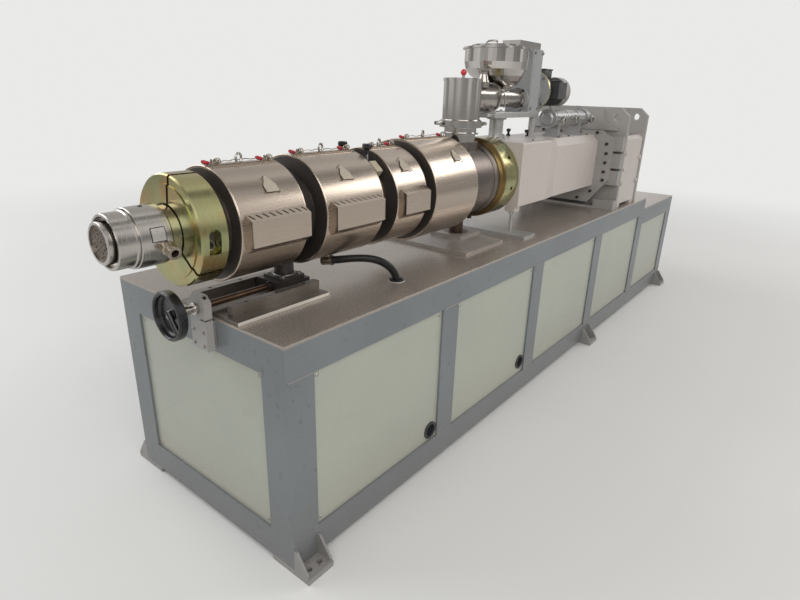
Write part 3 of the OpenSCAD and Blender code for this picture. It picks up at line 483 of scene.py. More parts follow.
class Fasteners:
    """Models of the bolts and nuts; each is made once and then copied."""

    def __init__(self) -> None:
        """Makes the models."""
        self.hex = self.hex_bolt()
        self.socket = self.socket_bolt()
        self.models = [self.hex, self.socket]

    def hex_bolt(self) -> bpy.types.Object:
        """Makes a hexagon head on a washer, 10 mm across the corners' radius."""
        washer = turned("washer", [(0, 0), (12, 0), (12, 1.6), (11.4, 2.2), (0, 2.2)], 28)
        head = turned("head", [(0, 2.2), (9.2, 2.2), (10, 3), (10, 8), (8.6, 9.2), (0, 9.2)], 6)
        return one("hex_bolt_model", washer, head)

    def socket_bolt(self) -> bpy.types.Object:
        """Makes a round head with a hexagon socket."""
        body = turned("body", [(0, 0), (9, 0), (9, 8.2), (8, 9.2), (0, 9.2)], 32)
        hole = turned("hole", [(0, 4), (4.8, 4), (4.8, 12), (0, 12)], 6)
        return cut(body, hole)

    def scaled(self, model: bpy.types.Object, name: str, spots: list[tuple], size: float) -> bpy.types.Object:
        """Copies a model at another size.

        Args:
            model: hex or socket bolt model, 10 mm in radius.
            name: the joined piece's name.
            spots: (place, up) or (place, up, turn) for each copy.
            size: wanted radius in millimetres.

        Returns:
            The joined copies.
        """
        only(model)
        bpy.ops.object.duplicate(linked=False)
        sized = bpy.context.view_layer.objects.active
        sized.scale = (size / 10,) * 3
        settle(sized)
        joined = copies(sized, name, spots)
        only(sized)
        bpy.ops.object.delete()
        only(joined)
        return joined

    def put_away(self) -> None:
        """Removes the models."""
        only(*self.models)
        bpy.ops.object.delete()


class Finishes:
    """Every surface of the machine, named as its maker would, and one painted edge highlight."""

    FRAME = Finish("frame_paint", (0.190, 0.208, 0.220), (0.150, 0.165, 0.176), 0.36, grain=Grain.FINE, grain_depth=0.06,
                   patch=3.0, patch_amount=0.6, bump=0.08, speck=(0.09, 0.085, 0.08), speck_amount=0.35,
                   dust=(0.165, 0.162, 0.158), dust_low=-0.15, dust_high=0.30)
    FOOT = Finish("foot_paint", (0.30, 0.29, 0.28), (0.20, 0.19, 0.18), 0.42, grain=Grain.FINE, grain_depth=0.1,
                  patch=9.0, speck=(0.09, 0.05, 0.03), speck_amount=0.5, bump=0.15)
    PANEL = Finish("panel_paint", (0.435, 0.455, 0.385), (0.375, 0.395, 0.345), 0.34, grain=Grain.FINE,
                   grain_depth=0.04, patch=1.6, patch_amount=0.8, bump=0.06, speck=(0.26, 0.25, 0.20),
                   speck_size=9.0, speck_amount=0.12, dust=(0.36, 0.335, 0.28), dust_low=-0.1, dust_high=0.32)
    # Painted highlight: this pale strip colour stands in for light catching the bed plate's long edges and the hose
    # hole's rim.
    EDGE_HIGHLIGHT = Finish("painted_edge_highlight", (0.80, 0.76, 0.70), (0.66, 0.62, 0.56), 0.34, metal=0.35, grain=Grain.ALONG_X,
                  grain_depth=0.08, patch=14.0)
    DECK = Finish("deck_steel", (0.43, 0.385, 0.34), (0.35, 0.312, 0.277), 0.27, metal=0.5, grain=Grain.FINE,
                  grain_depth=0.03, patch=1.3, patch_amount=0.8, rough_spread=0.006, bump=0.006,
                  speck=(0.26, 0.21, 0.17), speck_size=10.0, speck_amount=0.15)
    RUBBER = Finish("rubber", (0.022, 0.022, 0.024), (0.035, 0.035, 0.037), 0.55, grain=Grain.FINE, bump=0.2,
                    patch=20.0)
    HOSE = Finish("hose_plastic", (0.012, 0.012, 0.013), (0.028, 0.027, 0.026), 0.34, grain=Grain.FINE, bump=0.1,
                  patch=25.0)
    BED = Finish("machined_bed", (0.30, 0.27, 0.24), (0.17, 0.15, 0.13), 0.36, metal=0.8, grain=Grain.ALONG_X,
                 grain_depth=0.35, patch=9.0, patch_amount=0.8, rough_spread=0.12, speck=(0.10, 0.06, 0.04),
                 speck_size=60.0, speck_amount=0.5)
    BLACK = Finish("blackened_steel", (0.045, 0.040, 0.038), (0.09, 0.075, 0.065), 0.38, metal=0.5,
                   grain=Grain.FINE, grain_depth=0.3, patch=14.0, speck=(0.16, 0.09, 0.05), speck_size=50.0,
                   speck_amount=0.3)
    RUSTY = Finish("support_plate", (0.40, 0.36, 0.33), (0.30, 0.27, 0.245), 0.38, metal=0.3, grain=Grain.FINE,
                   grain_depth=0.2, patch=12.0, patch_amount=0.9, bump=0.25, speck=(0.22, 0.13, 0.08),
                   speck_size=60.0, speck_amount=0.5, round_spot=(-0.599, -0.091, 0.05),
                   spot_colour=(0.105, 0.055, 0.036))
    SCREW = Finish("oiled_screw", (0.12, 0.07, 0.045), (0.22, 0.15, 0.10), 0.3, metal=0.8, grain=Grain.ROUND_X,
                   grain_depth=0.5, patch=30.0)
    HANDLE = Finish("moulded_black", (0.008, 0.008, 0.009), (0.016, 0.016, 0.018), 0.30, grain=Grain.FINE,
                    grain_depth=0.0, patch=18.0, bump=0.05, coat=0.1)
    BARREL = Finish("nitrided_barrel", (0.20, 0.17, 0.15), (0.12, 0.10, 0.09), 0.36, metal=0.85,
                    grain=Grain.ROUND_X, grain_depth=0.3, patch=6.0, patch_amount=0.9, speck=(0.28, 0.22, 0.17),
                    speck_size=30.0, speck_amount=0.35)
    TURNED = Finish("turned_steel", (0.52, 0.49, 0.455), (0.40, 0.375, 0.35), 0.22, metal=1.0, grain=Grain.ROUND_X,
                    grain_depth=0.12, patch=6.0, rough_spread=0.06, bump=0.08)
    ZINC = Finish("zinc_yellow", (0.47, 0.42, 0.21), (0.30, 0.335, 0.17), 0.22, metal=0.97, grain=Grain.ROUND_X,
                  grain_depth=0.12, patch=6.0, patch_amount=0.95, third=(0.44, 0.28, 0.12),
                  stretch=(0.6, 1.4, 1.4), bump=0.08)
    BRONZE = Finish("amber_ring", (0.20, 0.13, 0.045), (0.10, 0.075, 0.035), 0.3, metal=0.9, grain=Grain.ROUND_X,
                    grain_depth=0.3, patch=7.0)
    COVER = Finish("cover_stainless", (0.50, 0.425, 0.355), (0.43, 0.365, 0.305), 0.26, metal=0.95,
                   grain=Grain.BRUSHED_X, grain_depth=0.03, patch=1.2, patch_amount=0.7, rough_spread=0.02,
                   stretch=(0.5, 2.0, 2.0), bump=0.012)
    COVER_END = Finish("cover_end", (0.085, 0.075, 0.068), (0.13, 0.115, 0.105), 0.42, metal=0.7,
                       grain=Grain.FINE, grain_depth=0.2, patch=8.0)
    BOX = Finish("box_stainless", (0.42, 0.385, 0.35), (0.36, 0.33, 0.30), 0.33, metal=0.85, grain=Grain.ALONG_X,
                 grain_depth=0.1, patch=3.0)
    MIRROR = Finish("polished_stainless", (0.58, 0.55, 0.52), (0.48, 0.455, 0.43), 0.12, metal=1.0,
                    grain=Grain.ROUND_Z, grain_depth=0.05, patch=5.0, patch_amount=0.5, rough_spread=0.03,
                    bump=0.03)
    PIPE = Finish("feed_stainless", (0.40, 0.37, 0.34), (0.30, 0.27, 0.25), 0.2, metal=0.95, grain=Grain.ROUND_X,
                  grain_depth=0.12, patch=7.0)
    HOUSING = Finish("housing_paint", (0.585, 0.53, 0.495), (0.52, 0.468, 0.437), 0.32, grain=Grain.FINE,
                     grain_depth=0.05, patch=2.4, patch_amount=0.8, bump=0.12, bump_distance=0.0006,
                     speck=(0.40, 0.36, 0.33), speck_size=22.0, speck_amount=0.15)
    GEARBOX = Finish("gearbox_paint", (0.36, 0.345, 0.33), (0.30, 0.288, 0.275), 0.34, grain=Grain.FINE,
                     grain_depth=0.08, patch=4.0, patch_amount=0.8, bump=0.18, bump_distance=0.0007,
                     speck=(0.22, 0.20, 0.18), speck_size=26.0, speck_amount=0.25)
    BOLT = Finish("bright_bolt", (0.48, 0.46, 0.43), (0.30, 0.28, 0.26), 0.28, metal=1.0, grain=Grain.FINE,
                  grain_depth=0.2, patch=40.0)
    DARK_BOLT = Finish("black_bolt", (0.035, 0.033, 0.032), (0.07, 0.062, 0.055), 0.33, metal=0.6,
                       grain=Grain.FINE, patch=40.0)
    COOLER = Finish("cooler_metal", (0.40, 0.40, 0.40), (0.32, 0.32, 0.32), 0.32, metal=0.55, grain=Grain.FINE,
                    grain_depth=0.05, patch=6.0)
    FEEDER = Finish("feeder_paint", (0.34, 0.345, 0.35), (0.29, 0.295, 0.30), 0.33, grain=Grain.FINE,
                    grain_depth=0.05, patch=4.0, patch_amount=0.7, bump=0.1)
    STAND = Finish("stand_metal", (0.46, 0.455, 0.445), (0.38, 0.375, 0.365), 0.28, metal=0.4, grain=Grain.FINE,
                   grain_depth=0.05, patch=5.0)
    MOTOR = Finish("motor_paint", (0.055, 0.056, 0.058), (0.10, 0.098, 0.092), 0.4, grain=Grain.FINE,
                   grain_depth=0.1, patch=10.0)
    COWL = Finish("cowl_paint", (0.36, 0.345, 0.32), (0.30, 0.285, 0.265), 0.4, grain=Grain.FINE, patch=8.0)
    RED = Finish("red_ball", (0.62, 0.014, 0.018), (0.52, 0.012, 0.014), 0.16, grain=Grain.FINE, grain_depth=0.0,
                 patch=30.0, bump=0.02, coat=0.5)
    SLEEVE = Finish("red_sleeve", (0.45, 0.03, 0.04), (0.36, 0.02, 0.03), 0.45, grain=Grain.FINE, patch=60.0)
    WIRE = Finish("nickel_wire", (0.42, 0.37, 0.31), (0.26, 0.22, 0.18), 0.36, metal=0.9, grain=Grain.FINE,
                  patch=60.0)
    TAG = Finish("plain_tag", (0.46, 0.41, 0.33), (0.40, 0.35, 0.28), 0.45, grain=Grain.FINE, grain_depth=0.08,
                 patch=30.0)
    PLATE = Finish("etched_plate", (0.62, 0.60, 0.56), (0.52, 0.50, 0.46), 0.34, metal=0.7, grain=Grain.FINE,
                   grain_depth=0.06, patch=30.0)
    CREAM = Finish("cream_block", (0.50, 0.43, 0.32), (0.42, 0.36, 0.27), 0.5, grain=Grain.FINE, patch=20.0)
    WELD = Finish("weld_bead", (0.34, 0.33, 0.32), (0.20, 0.18, 0.16), 0.42, metal=0.7, grain=Grain.FINE,
                  grain_depth=0.4, patch=60.0, bump=0.3)
    PORT = Finish("port_steel", (0.46, 0.40, 0.33), (0.28, 0.22, 0.17), 0.28, metal=0.95, grain=Grain.FINE,
                  patch=40.0)
    MELT = Finish("melt_screen", (0.11, 0.085, 0.065), (0.30, 0.25, 0.20), 0.42, metal=0.8, grain=Grain.FINE,
                  grain_depth=0.4, patch=70.0)


NODE_FINISH = {
    "feet": Finishes.FOOT, "bottom_rails": Finishes.FRAME, "top_rails": Finishes.FRAME,
    "tail_rails": Finishes.FRAME, "cross_rails": Finishes.FRAME, "posts": Finishes.FRAME,
    "operator_panels": Finishes.PANEL, "plain_panels": Finishes.PANEL, "deck_plates": Finishes.DECK,
    "grommets": Finishes.RUBBER, "slide_bed": Finishes.BED, "carriage": Finishes.BLACK,
    "front_support": Finishes.BLACK, "screw_bracket": Finishes.GEARBOX, "lead_screw": Finishes.SCREW,
    "handwheel": Finishes.HANDLE, "rear_support": Finishes.RUSTY, "barrel": Finishes.BARREL,
    "breaker_plate": Finishes.MELT, "die_adapter": Finishes.TURNED, "pressure_port": Finishes.PORT,
    "clamp_segments": Finishes.ZINC, "heater_1": Finishes.COVER, "heater_2": Finishes.COVER,
    "heater_3": Finishes.COVER, "heater_4": Finishes.COVER, "lock_collar": Finishes.ZINC,
    "connection_housing": Finishes.HOUSING, "levelling_feet": Finishes.STAND,
    "gearbox_neck": Finishes.GEARBOX, "gear_case": Finishes.HOUSING, "gearbox_walls": Finishes.GEARBOX,
    "input_shaft": Finishes.TURNED, "oil_cooler": Finishes.COOLER, "feed_throat": Finishes.MIRROR,
    "throat_clamp": Finishes.MIRROR, "feed_cylinder": Finishes.MIRROR, "cylinder_lid": Finishes.MIRROR,
    "metering_barrel": Finishes.PIPE, "hopper": Finishes.MIRROR,
    "hopper_lid": Finishes.MIRROR, "feeder_case": Finishes.FEEDER, "feeder_motor": Finishes.MOTOR,
}

SHOP = Dressing()
TOOLS = Fasteners()


# Camera, lights and floor


@dataclass
class Studio:
    """The floor, the lamps and the camera."""

    lens: float = 25.0115
    place: tuple[float, float, float] = (-2.686549, -1.418212, 1.350892)
    yaw: float = 38.05612
    pitch: float = 20.4847
    roll: float = 1.64341
    floor_half: float = 60.0
    fade_near: float = 2.8
    fade_far: float = 7.5
    air_strength: float = 0.50
    backdrop: tuple[float, float, float] = (0.82, 0.82, 0.81)
    sway_size: float = 1.7
    sway: float = 0.9
    skirting: float = 0.50
    skirting_top: float = 0.12
    skirting_share: float = 0.45
    rise_bands: tuple[tuple[float, float], ...] = ((0.0, 0.62), (0.25, 0.8), (0.6, 0.6), (1.0, 0.95))
    wall_bands: tuple[tuple[float, float], ...] = (
        (0.0, 0.62), (0.04, 0.80), (0.09, 0.30), (0.15, 0.22), (0.18, 0.92), (0.23, 0.70), (0.25, 0.30),
        (0.33, 0.20), (0.36, 0.85), (0.38, 0.90), (0.41, 0.42), (0.48, 0.16), (0.51, 0.55), (0.55, 0.95),
        (0.60, 0.72), (0.66, 0.52), (0.70, 0.60), (0.73, 0.92), (0.76, 0.45), (0.84, 0.18), (0.87, 0.75),
        (0.90, 0.85), (0.93, 0.40), (0.97, 0.30), (1.0, 0.62))

    def camera(self) -> None:
        """Sets the camera where the photograph was taken from."""
        yaw, pitch, roll = (math.radians(v) for v in (self.yaw, self.pitch, self.roll))
        ahead = Vector((math.cos(yaw) * math.cos(pitch), math.sin(yaw) * math.cos(pitch), -math.sin(pitch)))
        right = Vector((math.sin(yaw), -math.cos(yaw), 0))
        top = right.cross(ahead)
        side = math.cos(roll) * right + math.sin(roll) * top
        top = math.cos(roll) * top - math.sin(roll) * right
        data = bpy.data.cameras.new("camera")
        data.lens = self.lens
        data.sensor_width = 36.0
        data.clip_end = 200.0
        camera = bpy.data.objects.new("camera", data)
        bpy.context.collection.objects.link(camera)
        turn = Matrix((side, top, -ahead)).transposed().to_4x4()
        camera.matrix_world = Matrix.Translation(self.place) @ turn
        bpy.context.scene.camera = camera

    def lamp(self, name: str, place: tuple[float, float, float], size: float, power: float,
             colour: tuple[float, float, float]) -> None:
        """Hangs one soft square lamp that looks at the middle of the machine."""
        data = bpy.data.lights.new(name, "AREA")
        data.shape = "RECTANGLE"
        data.size = size
        data.size_y = size * 0.6
        data.energy = power
        data.color = colour
        lamp = bpy.data.objects.new(name, data)
        bpy.context.collection.objects.link(lamp)
        lamp.location = place
        lamp.rotation_euler = (Vector((-0.4, 0, 0.7)) - Vector(place)).to_track_quat("-Z", "Y").to_euler()

    def lamps(self) -> None:
        """Hangs the soft lamps."""
        self.lamp("window_lamp", (-3.2, 5.5, 4.6), 6.5, 215.0, (0.96, 0.98, 1.0))
        self.lamp("near_lamp", (-4.5, -5.0, 5.0), 7.5, 262.0, (1.0, 0.98, 0.95))
        self.lamp("tail_lamp", (5.5, -3.5, 4.5), 4.0, 140.0, (1.0, 0.98, 0.96))

    def air(self) -> None:
        """Colours the air: plain light all round, and a pale backdrop with dark walls in what is polished."""
        world = bpy.data.worlds.new("air")
        bpy.context.scene.world = world
        world.use_nodes = True
        tree = world.node_tree
        make, link = tree.nodes.new, tree.links.new
        coords = make("ShaderNodeTexCoord")
        split = make("ShaderNodeSeparateXYZ")
        link(coords.outputs["Generated"], split.inputs["Vector"])
        rise = self.bands(tree, split.outputs["Z"], self.rise_bands)
        plain = tree.nodes["Background"]
        plain.inputs["Strength"].default_value = self.air_strength
        link(rise, plain.inputs["Color"])
        noise = make("ShaderNodeTexNoise")
        noise.inputs["Scale"].default_value = self.sway_size
        noise.inputs["Detail"].default_value = 1.0
        link(coords.outputs["Generated"], noise.inputs["Vector"])
        middled = make("ShaderNodeVectorMath")
        middled.operation = "SUBTRACT"
        middled.inputs[1].default_value = (0.5, 0.5, 0.5)
        link(noise.outputs["Color"], middled.inputs[0])
        bent = make("ShaderNodeVectorMath")
        bent.operation = "MULTIPLY_ADD"
        bent.inputs[1].default_value = (self.sway, self.sway, self.sway)
        link(middled.outputs["Vector"], bent.inputs[0])
        link(coords.outputs["Generated"], bent.inputs[2])
        turn = make("ShaderNodeTexGradient")
        turn.gradient_type = "RADIAL"
        link(bent.outputs["Vector"], turn.inputs["Vector"])
        low = make("ShaderNodeMapRange")
        low.interpolation_type = "SMOOTHSTEP"
        low.inputs["From Min"].default_value = 0.0
        low.inputs["From Max"].default_value = self.skirting_top
        low.inputs["To Min"].default_value = self.skirting_share
        low.inputs["To Max"].default_value = 0.0
        link(split.outputs["Z"], low.inputs["Value"])
        meet = make("ShaderNodeMix")
        meet.data_type = "RGBA"
        link(low.outputs["Result"], meet.inputs[0])
        link(self.bands(tree, turn.outputs["Fac"], self.wall_bands), meet.inputs[6])
        meet.inputs[7].default_value = (self.skirting, self.skirting, self.skirting, 1)
        walls = meet.outputs[2]
        rays = make("ShaderNodeLightPath")
        seen = make("ShaderNodeMix")
        seen.data_type = "RGBA"
        link(rays.outputs["Is Camera Ray"], seen.inputs[0])
        link(walls, seen.inputs[6])
        seen.inputs[7].default_value = (*self.backdrop, 1)
        shown = make("ShaderNodeBackground")
        link(seen.outputs[2], shown.inputs["Color"])
        either = make("ShaderNodeMath")
        either.operation = "MAXIMUM"
        link(rays.outputs["Is Camera Ray"], either.inputs[0])
        link(rays.outputs["Is Glossy Ray"], either.inputs[1])
        any_ray = make("ShaderNodeMath")
        any_ray.operation = "MAXIMUM"
        link(either.outputs[0], any_ray.inputs[0])
        link(rays.outputs["Is Transmission Ray"], any_ray.inputs[1])
        mix = make("ShaderNodeMixShader")
        link(any_ray.outputs[0], mix.inputs[0])
        link(plain.outputs[0], mix.inputs[1])
        link(shown.outputs[0], mix.inputs[2])
        link(mix.outputs[0], tree.nodes["World Output"].inputs["Surface"])

    def bands(self, tree: bpy.types.NodeTree, value: bpy.types.NodeSocket,
              stops: tuple[tuple[float, float], ...]) -> bpy.types.NodeSocket:
        """Turns a value into soft grey bands.

        Args:
            tree: the world's node tree.
            value: the socket that runs from 0 to 1.
            stops: (place, brightness) of each band.

        Returns:
            The socket with the grey.
        """
        ramp = tree.nodes.new("ShaderNodeValToRGB")
        ramp.color_ramp.interpolation = "EASE"
        for n, (place, grey) in enumerate(stops):
            if n == 0:
                stop = ramp.color_ramp.elements[0]
            elif n == len(stops) - 1:
                stop = ramp.color_ramp.elements[-1]
            else:
                stop = ramp.color_ramp.elements.new(place)
            stop.position = place
            stop.color = (grey, grey * 0.99, grey * 0.975, 1)
        tree.links.new(value, ramp.inputs["Fac"])
        return ramp.outputs["Color"]

    def floor(self) -> None:
        """Lays the pale floor."""
        bpy.ops.mesh.primitive_plane_add(size=2 * self.floor_half)
        floor = bpy.context.view_layer.objects.active
        floor.name = "floor"
        finish = Finish("pale_floor", (0.79, 0.79, 0.78), (0.74, 0.74, 0.73), 0.6, grain=Grain.FINE,
                        grain_depth=0.02, patch=0.7, patch_amount=0.5, bump=0.03)
        ground = SHOP.material(finish)
        self.fade(ground)
        floor.data.materials.append(ground)

    def fade(self, ground: bpy.types.Material) -> None:
        """Lets the floor pass into the backdrop's colour far from the machine, for what is seen only."""
        tree = ground.node_tree
        make, link = tree.nodes.new, tree.links.new
        coords = make("ShaderNodeTexCoord")
        away = make("ShaderNodeVectorMath")
        away.operation = "LENGTH"
        link(coords.outputs["Object"], away.inputs[0])
        span = make("ShaderNodeMapRange")
        span.interpolation_type = "SMOOTHSTEP"
        span.inputs["From Min"].default_value = self.fade_near
        span.inputs["From Max"].default_value = self.fade_far
        link(away.outputs["Value"], span.inputs["Value"])
        rays = make("ShaderNodeLightPath")
        seen = make("ShaderNodeMath")
        seen.operation = "MULTIPLY"
        link(span.outputs["Result"], seen.inputs[0])
        link(rays.outputs["Is Camera Ray"], seen.inputs[1])
        glow = make("ShaderNodeEmission")
        glow.inputs["Color"].default_value = (*self.backdrop, 1)
        mix = make("ShaderNodeMixShader")
        link(seen.outputs[0], mix.inputs[0])
        link(tree.nodes["Principled BSDF"].outputs[0], mix.inputs[1])
        link(glow.outputs[0], mix.inputs[2])
        link(mix.outputs[0], tree.nodes["Material Output"].inputs["Surface"])

    def build(self) -> None:
        """Sets up everything that isn't the machine."""
        bpy.context.scene.view_settings.view_transform = "Standard"
        self.camera()
        self.lamps()
        self.air()
        self.floor()


# Hose


@dataclass
class Hose:
    """The ribbed hose from the second cover down through the deck."""

    radius: float = 13.0
    valley: float = 11.2
    pitch: float = 3.6
    cuff: float = 22.0

    ROUTE = [
        (446, 271.4, 823.1), (452.6, 255.9, 826.2), (461.1, 241.4, 829), (471.1, 227.7, 831.3),
        (482.3, 214.9, 832.7), (494.4, 202.8, 833.3), (507.1, 191.5, 832.7), (520.4, 180.8, 830.9),
        (533.8, 170.8, 827.5), (547.2, 161.5, 822.3), (560.1, 152.9, 815.2), (572.2, 145.1, 805.9),
        (583.1, 138.2, 794.7), (592.4, 133.1, 781.7), (599.3, 129.3, 767), (603.8, 127.3, 751.2),
        (605.8, 126.6, 734.6),
    ]

    def profile(self, length: float) -> list[tuple[float, float]]:
        """Gives the half outline of the straight hose: a cuff, its ribs and a plain end."""
        line = [(0.0, 0.0), (self.radius - 0.2, 0.0), (self.radius - 0.2, self.cuff)]
        height = self.cuff
        while height + self.pitch < length - 4:
            line += [(self.valley, height + 0.9), (self.valley, height + 1.7), (self.radius - 0.1, height + 2.5),
                     (self.radius - 0.1, height + self.pitch)]
            height += self.pitch
        return line + [(self.valley, length), (0.0, length)]

    def build(self) -> None:
        """Turns the straight hose and bends it along its route."""
        route = [at(*p) for p in self.ROUTE]
        length = sum((b - a).length for a, b in zip(route[:-1], route[1:]))
        hose = turned("hose", self.profile(length * 1000), 20)
        data = bpy.data.curves.new("hose_route", "CURVE")
        data.dimensions = "3D"
        path = data.splines.new("POLY")
        path.points.add(len(route) - 1)
        for spot, point in zip(path.points, route):
            spot.co = (*point, 1.0)
        guide = bpy.data.objects.new("hose_route", data)
        bpy.context.collection.objects.link(guide)
        only(hose)
        bpy.ops.object.modifier_add(type="CURVE")
        bend = hose.modifiers[-1]
        bend.object = guide
        bend.deform_axis = "POS_Z"
        bpy.ops.object.modifier_apply(modifier=bend.name)
        only(guide)
        bpy.ops.object.delete()
        settle(hose)
        SHOP.piece(hose, Finishes.HOSE, "hose")
        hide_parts("ribbed_hose")


# Covers over the barrel


@dataclass
class Covers:
    """Small fittings on the four heater covers."""

    starts: tuple[float, ...] = (23.0, 316.0, 642.0, 838.0)
    lengths: tuple[float, ...] = (226.0, 257.0, 166.0, 287.0)
    radii: tuple[float, ...] = (158.0, 168.0, 170.0, 190.0)
    tag_places: tuple[float, ...] = (150.0, 432.0, 722.0, 1020.0)
    ring_angle: float = 93.0
    boxes: tuple[tuple[float, float], ...] = ((18.0, 200.0), (20.0, 215.0), (18.0, 138.0))
    box_reach: float = 22.0
    wire_radius: float = 1.7

    def loop(self, name: str, radius: float, wire_radius: float) -> bpy.types.Object:
        """Bends a standing wire loop with two feet that turn outward."""
        points = [Vector((radius * math.cos(a), 0, radius + radius * math.sin(a))) / 1000
                  for a in (math.radians(d) for d in range(-60, 241, 30))]
        foot = [Vector((radius * 1.5, 0, -1.0)) / 1000]
        tail = [Vector((-radius * 1.5, 0, -1.0)) / 1000]
        return wire(name, foot + points + tail, wire_radius)

    def terminals(self) -> None:
        """Puts the wire loops, their red sleeves and the lifting eyes on the covers."""
        loop = self.loop("wire_loop_model", 8.0, self.wire_radius)
        eye = self.loop("eye_model", 13.0, 3.4)
        stud = turned("stud_model", [(0, -2), (4.2, -2), (4.2, 5), (3.2, 6), (3.2, 11), (0, 11)], 12)
        sleeve = turned("sleeve_model", [(0, 0), (4.6, 0), (5.4, 1.5), (5.4, 15), (3.2, 20), (0, 20)], 14)
        loops, eyes, studs, sleeves = [], [], [], []
        for start, length, radius in zip(self.starts, self.lengths, self.radii):
            for place, way in ((start + 12, 1), (start + length - 42, 1)):
                for n, (step, angle) in enumerate(((10, 95.5), (26, 94.0), (38, 91.5))):
                    spot = round_axis(place + way * step, radius - 1, angle)
                    loops.append((spot, outward(angle), 35 + 55 * n))
                    studs.append((round_axis(place + way * step + 6, radius - 1, angle - 2.5), outward(angle)))
                lean = Vector((-0.94, 0.1, 0.30)).normalized()
                sleeves.append((round_axis(place + 4, radius + 5, 94.5), lean))
            eyes.append((round_axis(start + length / 2, radius - 1, self.ring_angle), outward(self.ring_angle), 20))
        SHOP.piece(copies(loop, "terminal_loops", loops), Finishes.WIRE, "screw_steel")
        SHOP.piece(copies(eye, "cover_eyes", eyes), Finishes.BOLT, "turned_steel")
        SHOP.piece(copies(stud, "terminal_studs", studs), Finishes.BOLT, "turned_steel")
        SHOP.piece(copies(sleeve, "terminal_sleeves", sleeves), Finishes.SLEEVE, "rubber")
        only(loop, eye, stud, sleeve)
        bpy.ops.object.delete()

    def leads(self) -> None:
        """Runs a bare lead from terminal to terminal along each cover's seam."""
        pieces = []
        for i, (start, length, radius) in enumerate(zip(self.starts, self.lengths, self.radii)):
            points = []
            for k in range(15):
                part = k / 14
                lift = 4 + 5 * abs(math.sin(5.5 * math.pi * part))
                swing = 92.5 + 1.6 * math.sin(9 * part + i)
                points.append(round_axis(start + 14 + (length - 30) * part, radius + lift, swing))
            pieces.append(wire(f"lead_{i}", points, 1.4))
        SHOP.piece(one("terminal_leads", *pieces), Finishes.WIRE, "screw_steel")

    def tags(self) -> None:
        """Hangs a plain tag plate with two wire clips on each cover."""
        plate = drawn("tag_plate", [(-21, -24), (21, -24), (21, -2), (3, 26), (-3, 26), (-21, -2)], 1.2, 0.4)
        pin = turned("tag_pin", [(0, -3), (1.6, -3), (1.6, 5), (2.6, 5.6), (2.6, 7), (0, 7.6)], 10)
        plates, pins = [], []
        for place, radius in zip(self.tag_places, self.radii):
            middle = 137.0
            spot = round_axis(place, radius + 2.5, middle)
            plates.append((spot, outward(middle)))
            for dx, da in ((-21, 7.5), (24, 8.5), (-6, -9.5)):
                pins.append((round_axis(place + dx, radius, middle + da), outward(middle + da)))
        SHOP.piece(copies(plate, "cover_tags", plates), Finishes.TAG, "turned_steel")
        SHOP.piece(copies(pin, "tag_pins", pins), Finishes.WIRE, "screw_steel")
        only(plate, pin)
        bpy.ops.object.delete()

    def end_rings(self) -> None:
        """Lays the dark end plates over the covers' ends and a rolled bead round each edge."""
        plates, beads = [], []
        for start, length, radius in zip(self.starts, self.lengths, self.radii):
            for x, way in ((start + 2.0, Way.FRONT), (start + length - 2.0, Way.BACK)):
                plate = turned("end_plate", [(113, 0), (radius - 6.5, 0), (radius - 6.5, 0.6), (113, 0.6),
                                             (113, 0)], 64)
                plates.append(lay(plate, at(x, AXIS_Y, AXIS_Z), way.vector()))
        SHOP.piece(one("cover_ends", *plates), Finishes.COVER_END, "barrel_steel")
        bead = [(3.0 * math.cos(a), 3.0 * math.sin(a)) for a in (math.radians(d) for d in range(0, 361, 60))]
        for start, length, radius in zip(self.starts, self.lengths, self.radii):
            for x in (start + 3.4, start + length - 3.4):
                ring = turned("bead", [(radius - 2.2 + r, h) for r, h in bead], 72)
                beads.append(lay(ring, at(x, AXIS_Y, AXIS_Z), Way.FRONT.vector()))
        SHOP.piece(one("cover_beads", *beads), Finishes.COVER, "stainless")

    def louvres(self) -> None:
        """Lays a sloping louvred top on each terminal box."""
        for i, (inset, length) in enumerate(self.boxes):
            start, radius = self.starts[i] + inset, self.radii[i]
            face, top = AXIS_Y - radius - self.box_reach, AXIS_Z - 3 + 34
            slope = [(face + 0.6, top - 1), (face + 0.6, top), (face + 2, top + 0.8), (face + 34, top + 19),
                     (face + 44, top + 10), (face + 36, top - 1)]
            points = [tuple(1000 * c for c in at(start + 0.8, y, z)) for y, z in slope]
            hood = from_points(f"box_top_{i + 1}", points, [], [tuple(range(len(points)))])
            edit(hood)
            bpy.ops.mesh.extrude_region_move(TRANSFORM_OT_translate={"value": ((length - 1.6) / 1000, 0, 0)})
            close(hood)
            count = int(length / 22)
            slots = []
            for k in range(count):
                slot = drawn("slot", [(-2.8, -8), (0, -11), (2.8, -8), (2.8, 8), (0, 11), (-2.8, 8)], 16, 0)
                spot = at(start + length * (k + 0.5) / count, face + 20, top + 2)
                slots.append(lay(slot, spot, Vector((0, -0.5, 0.87)), 28))
            hood = cut(hood, one("slots", *slots))
            SHOP.piece(hood, Finishes.COVER, "stainless")

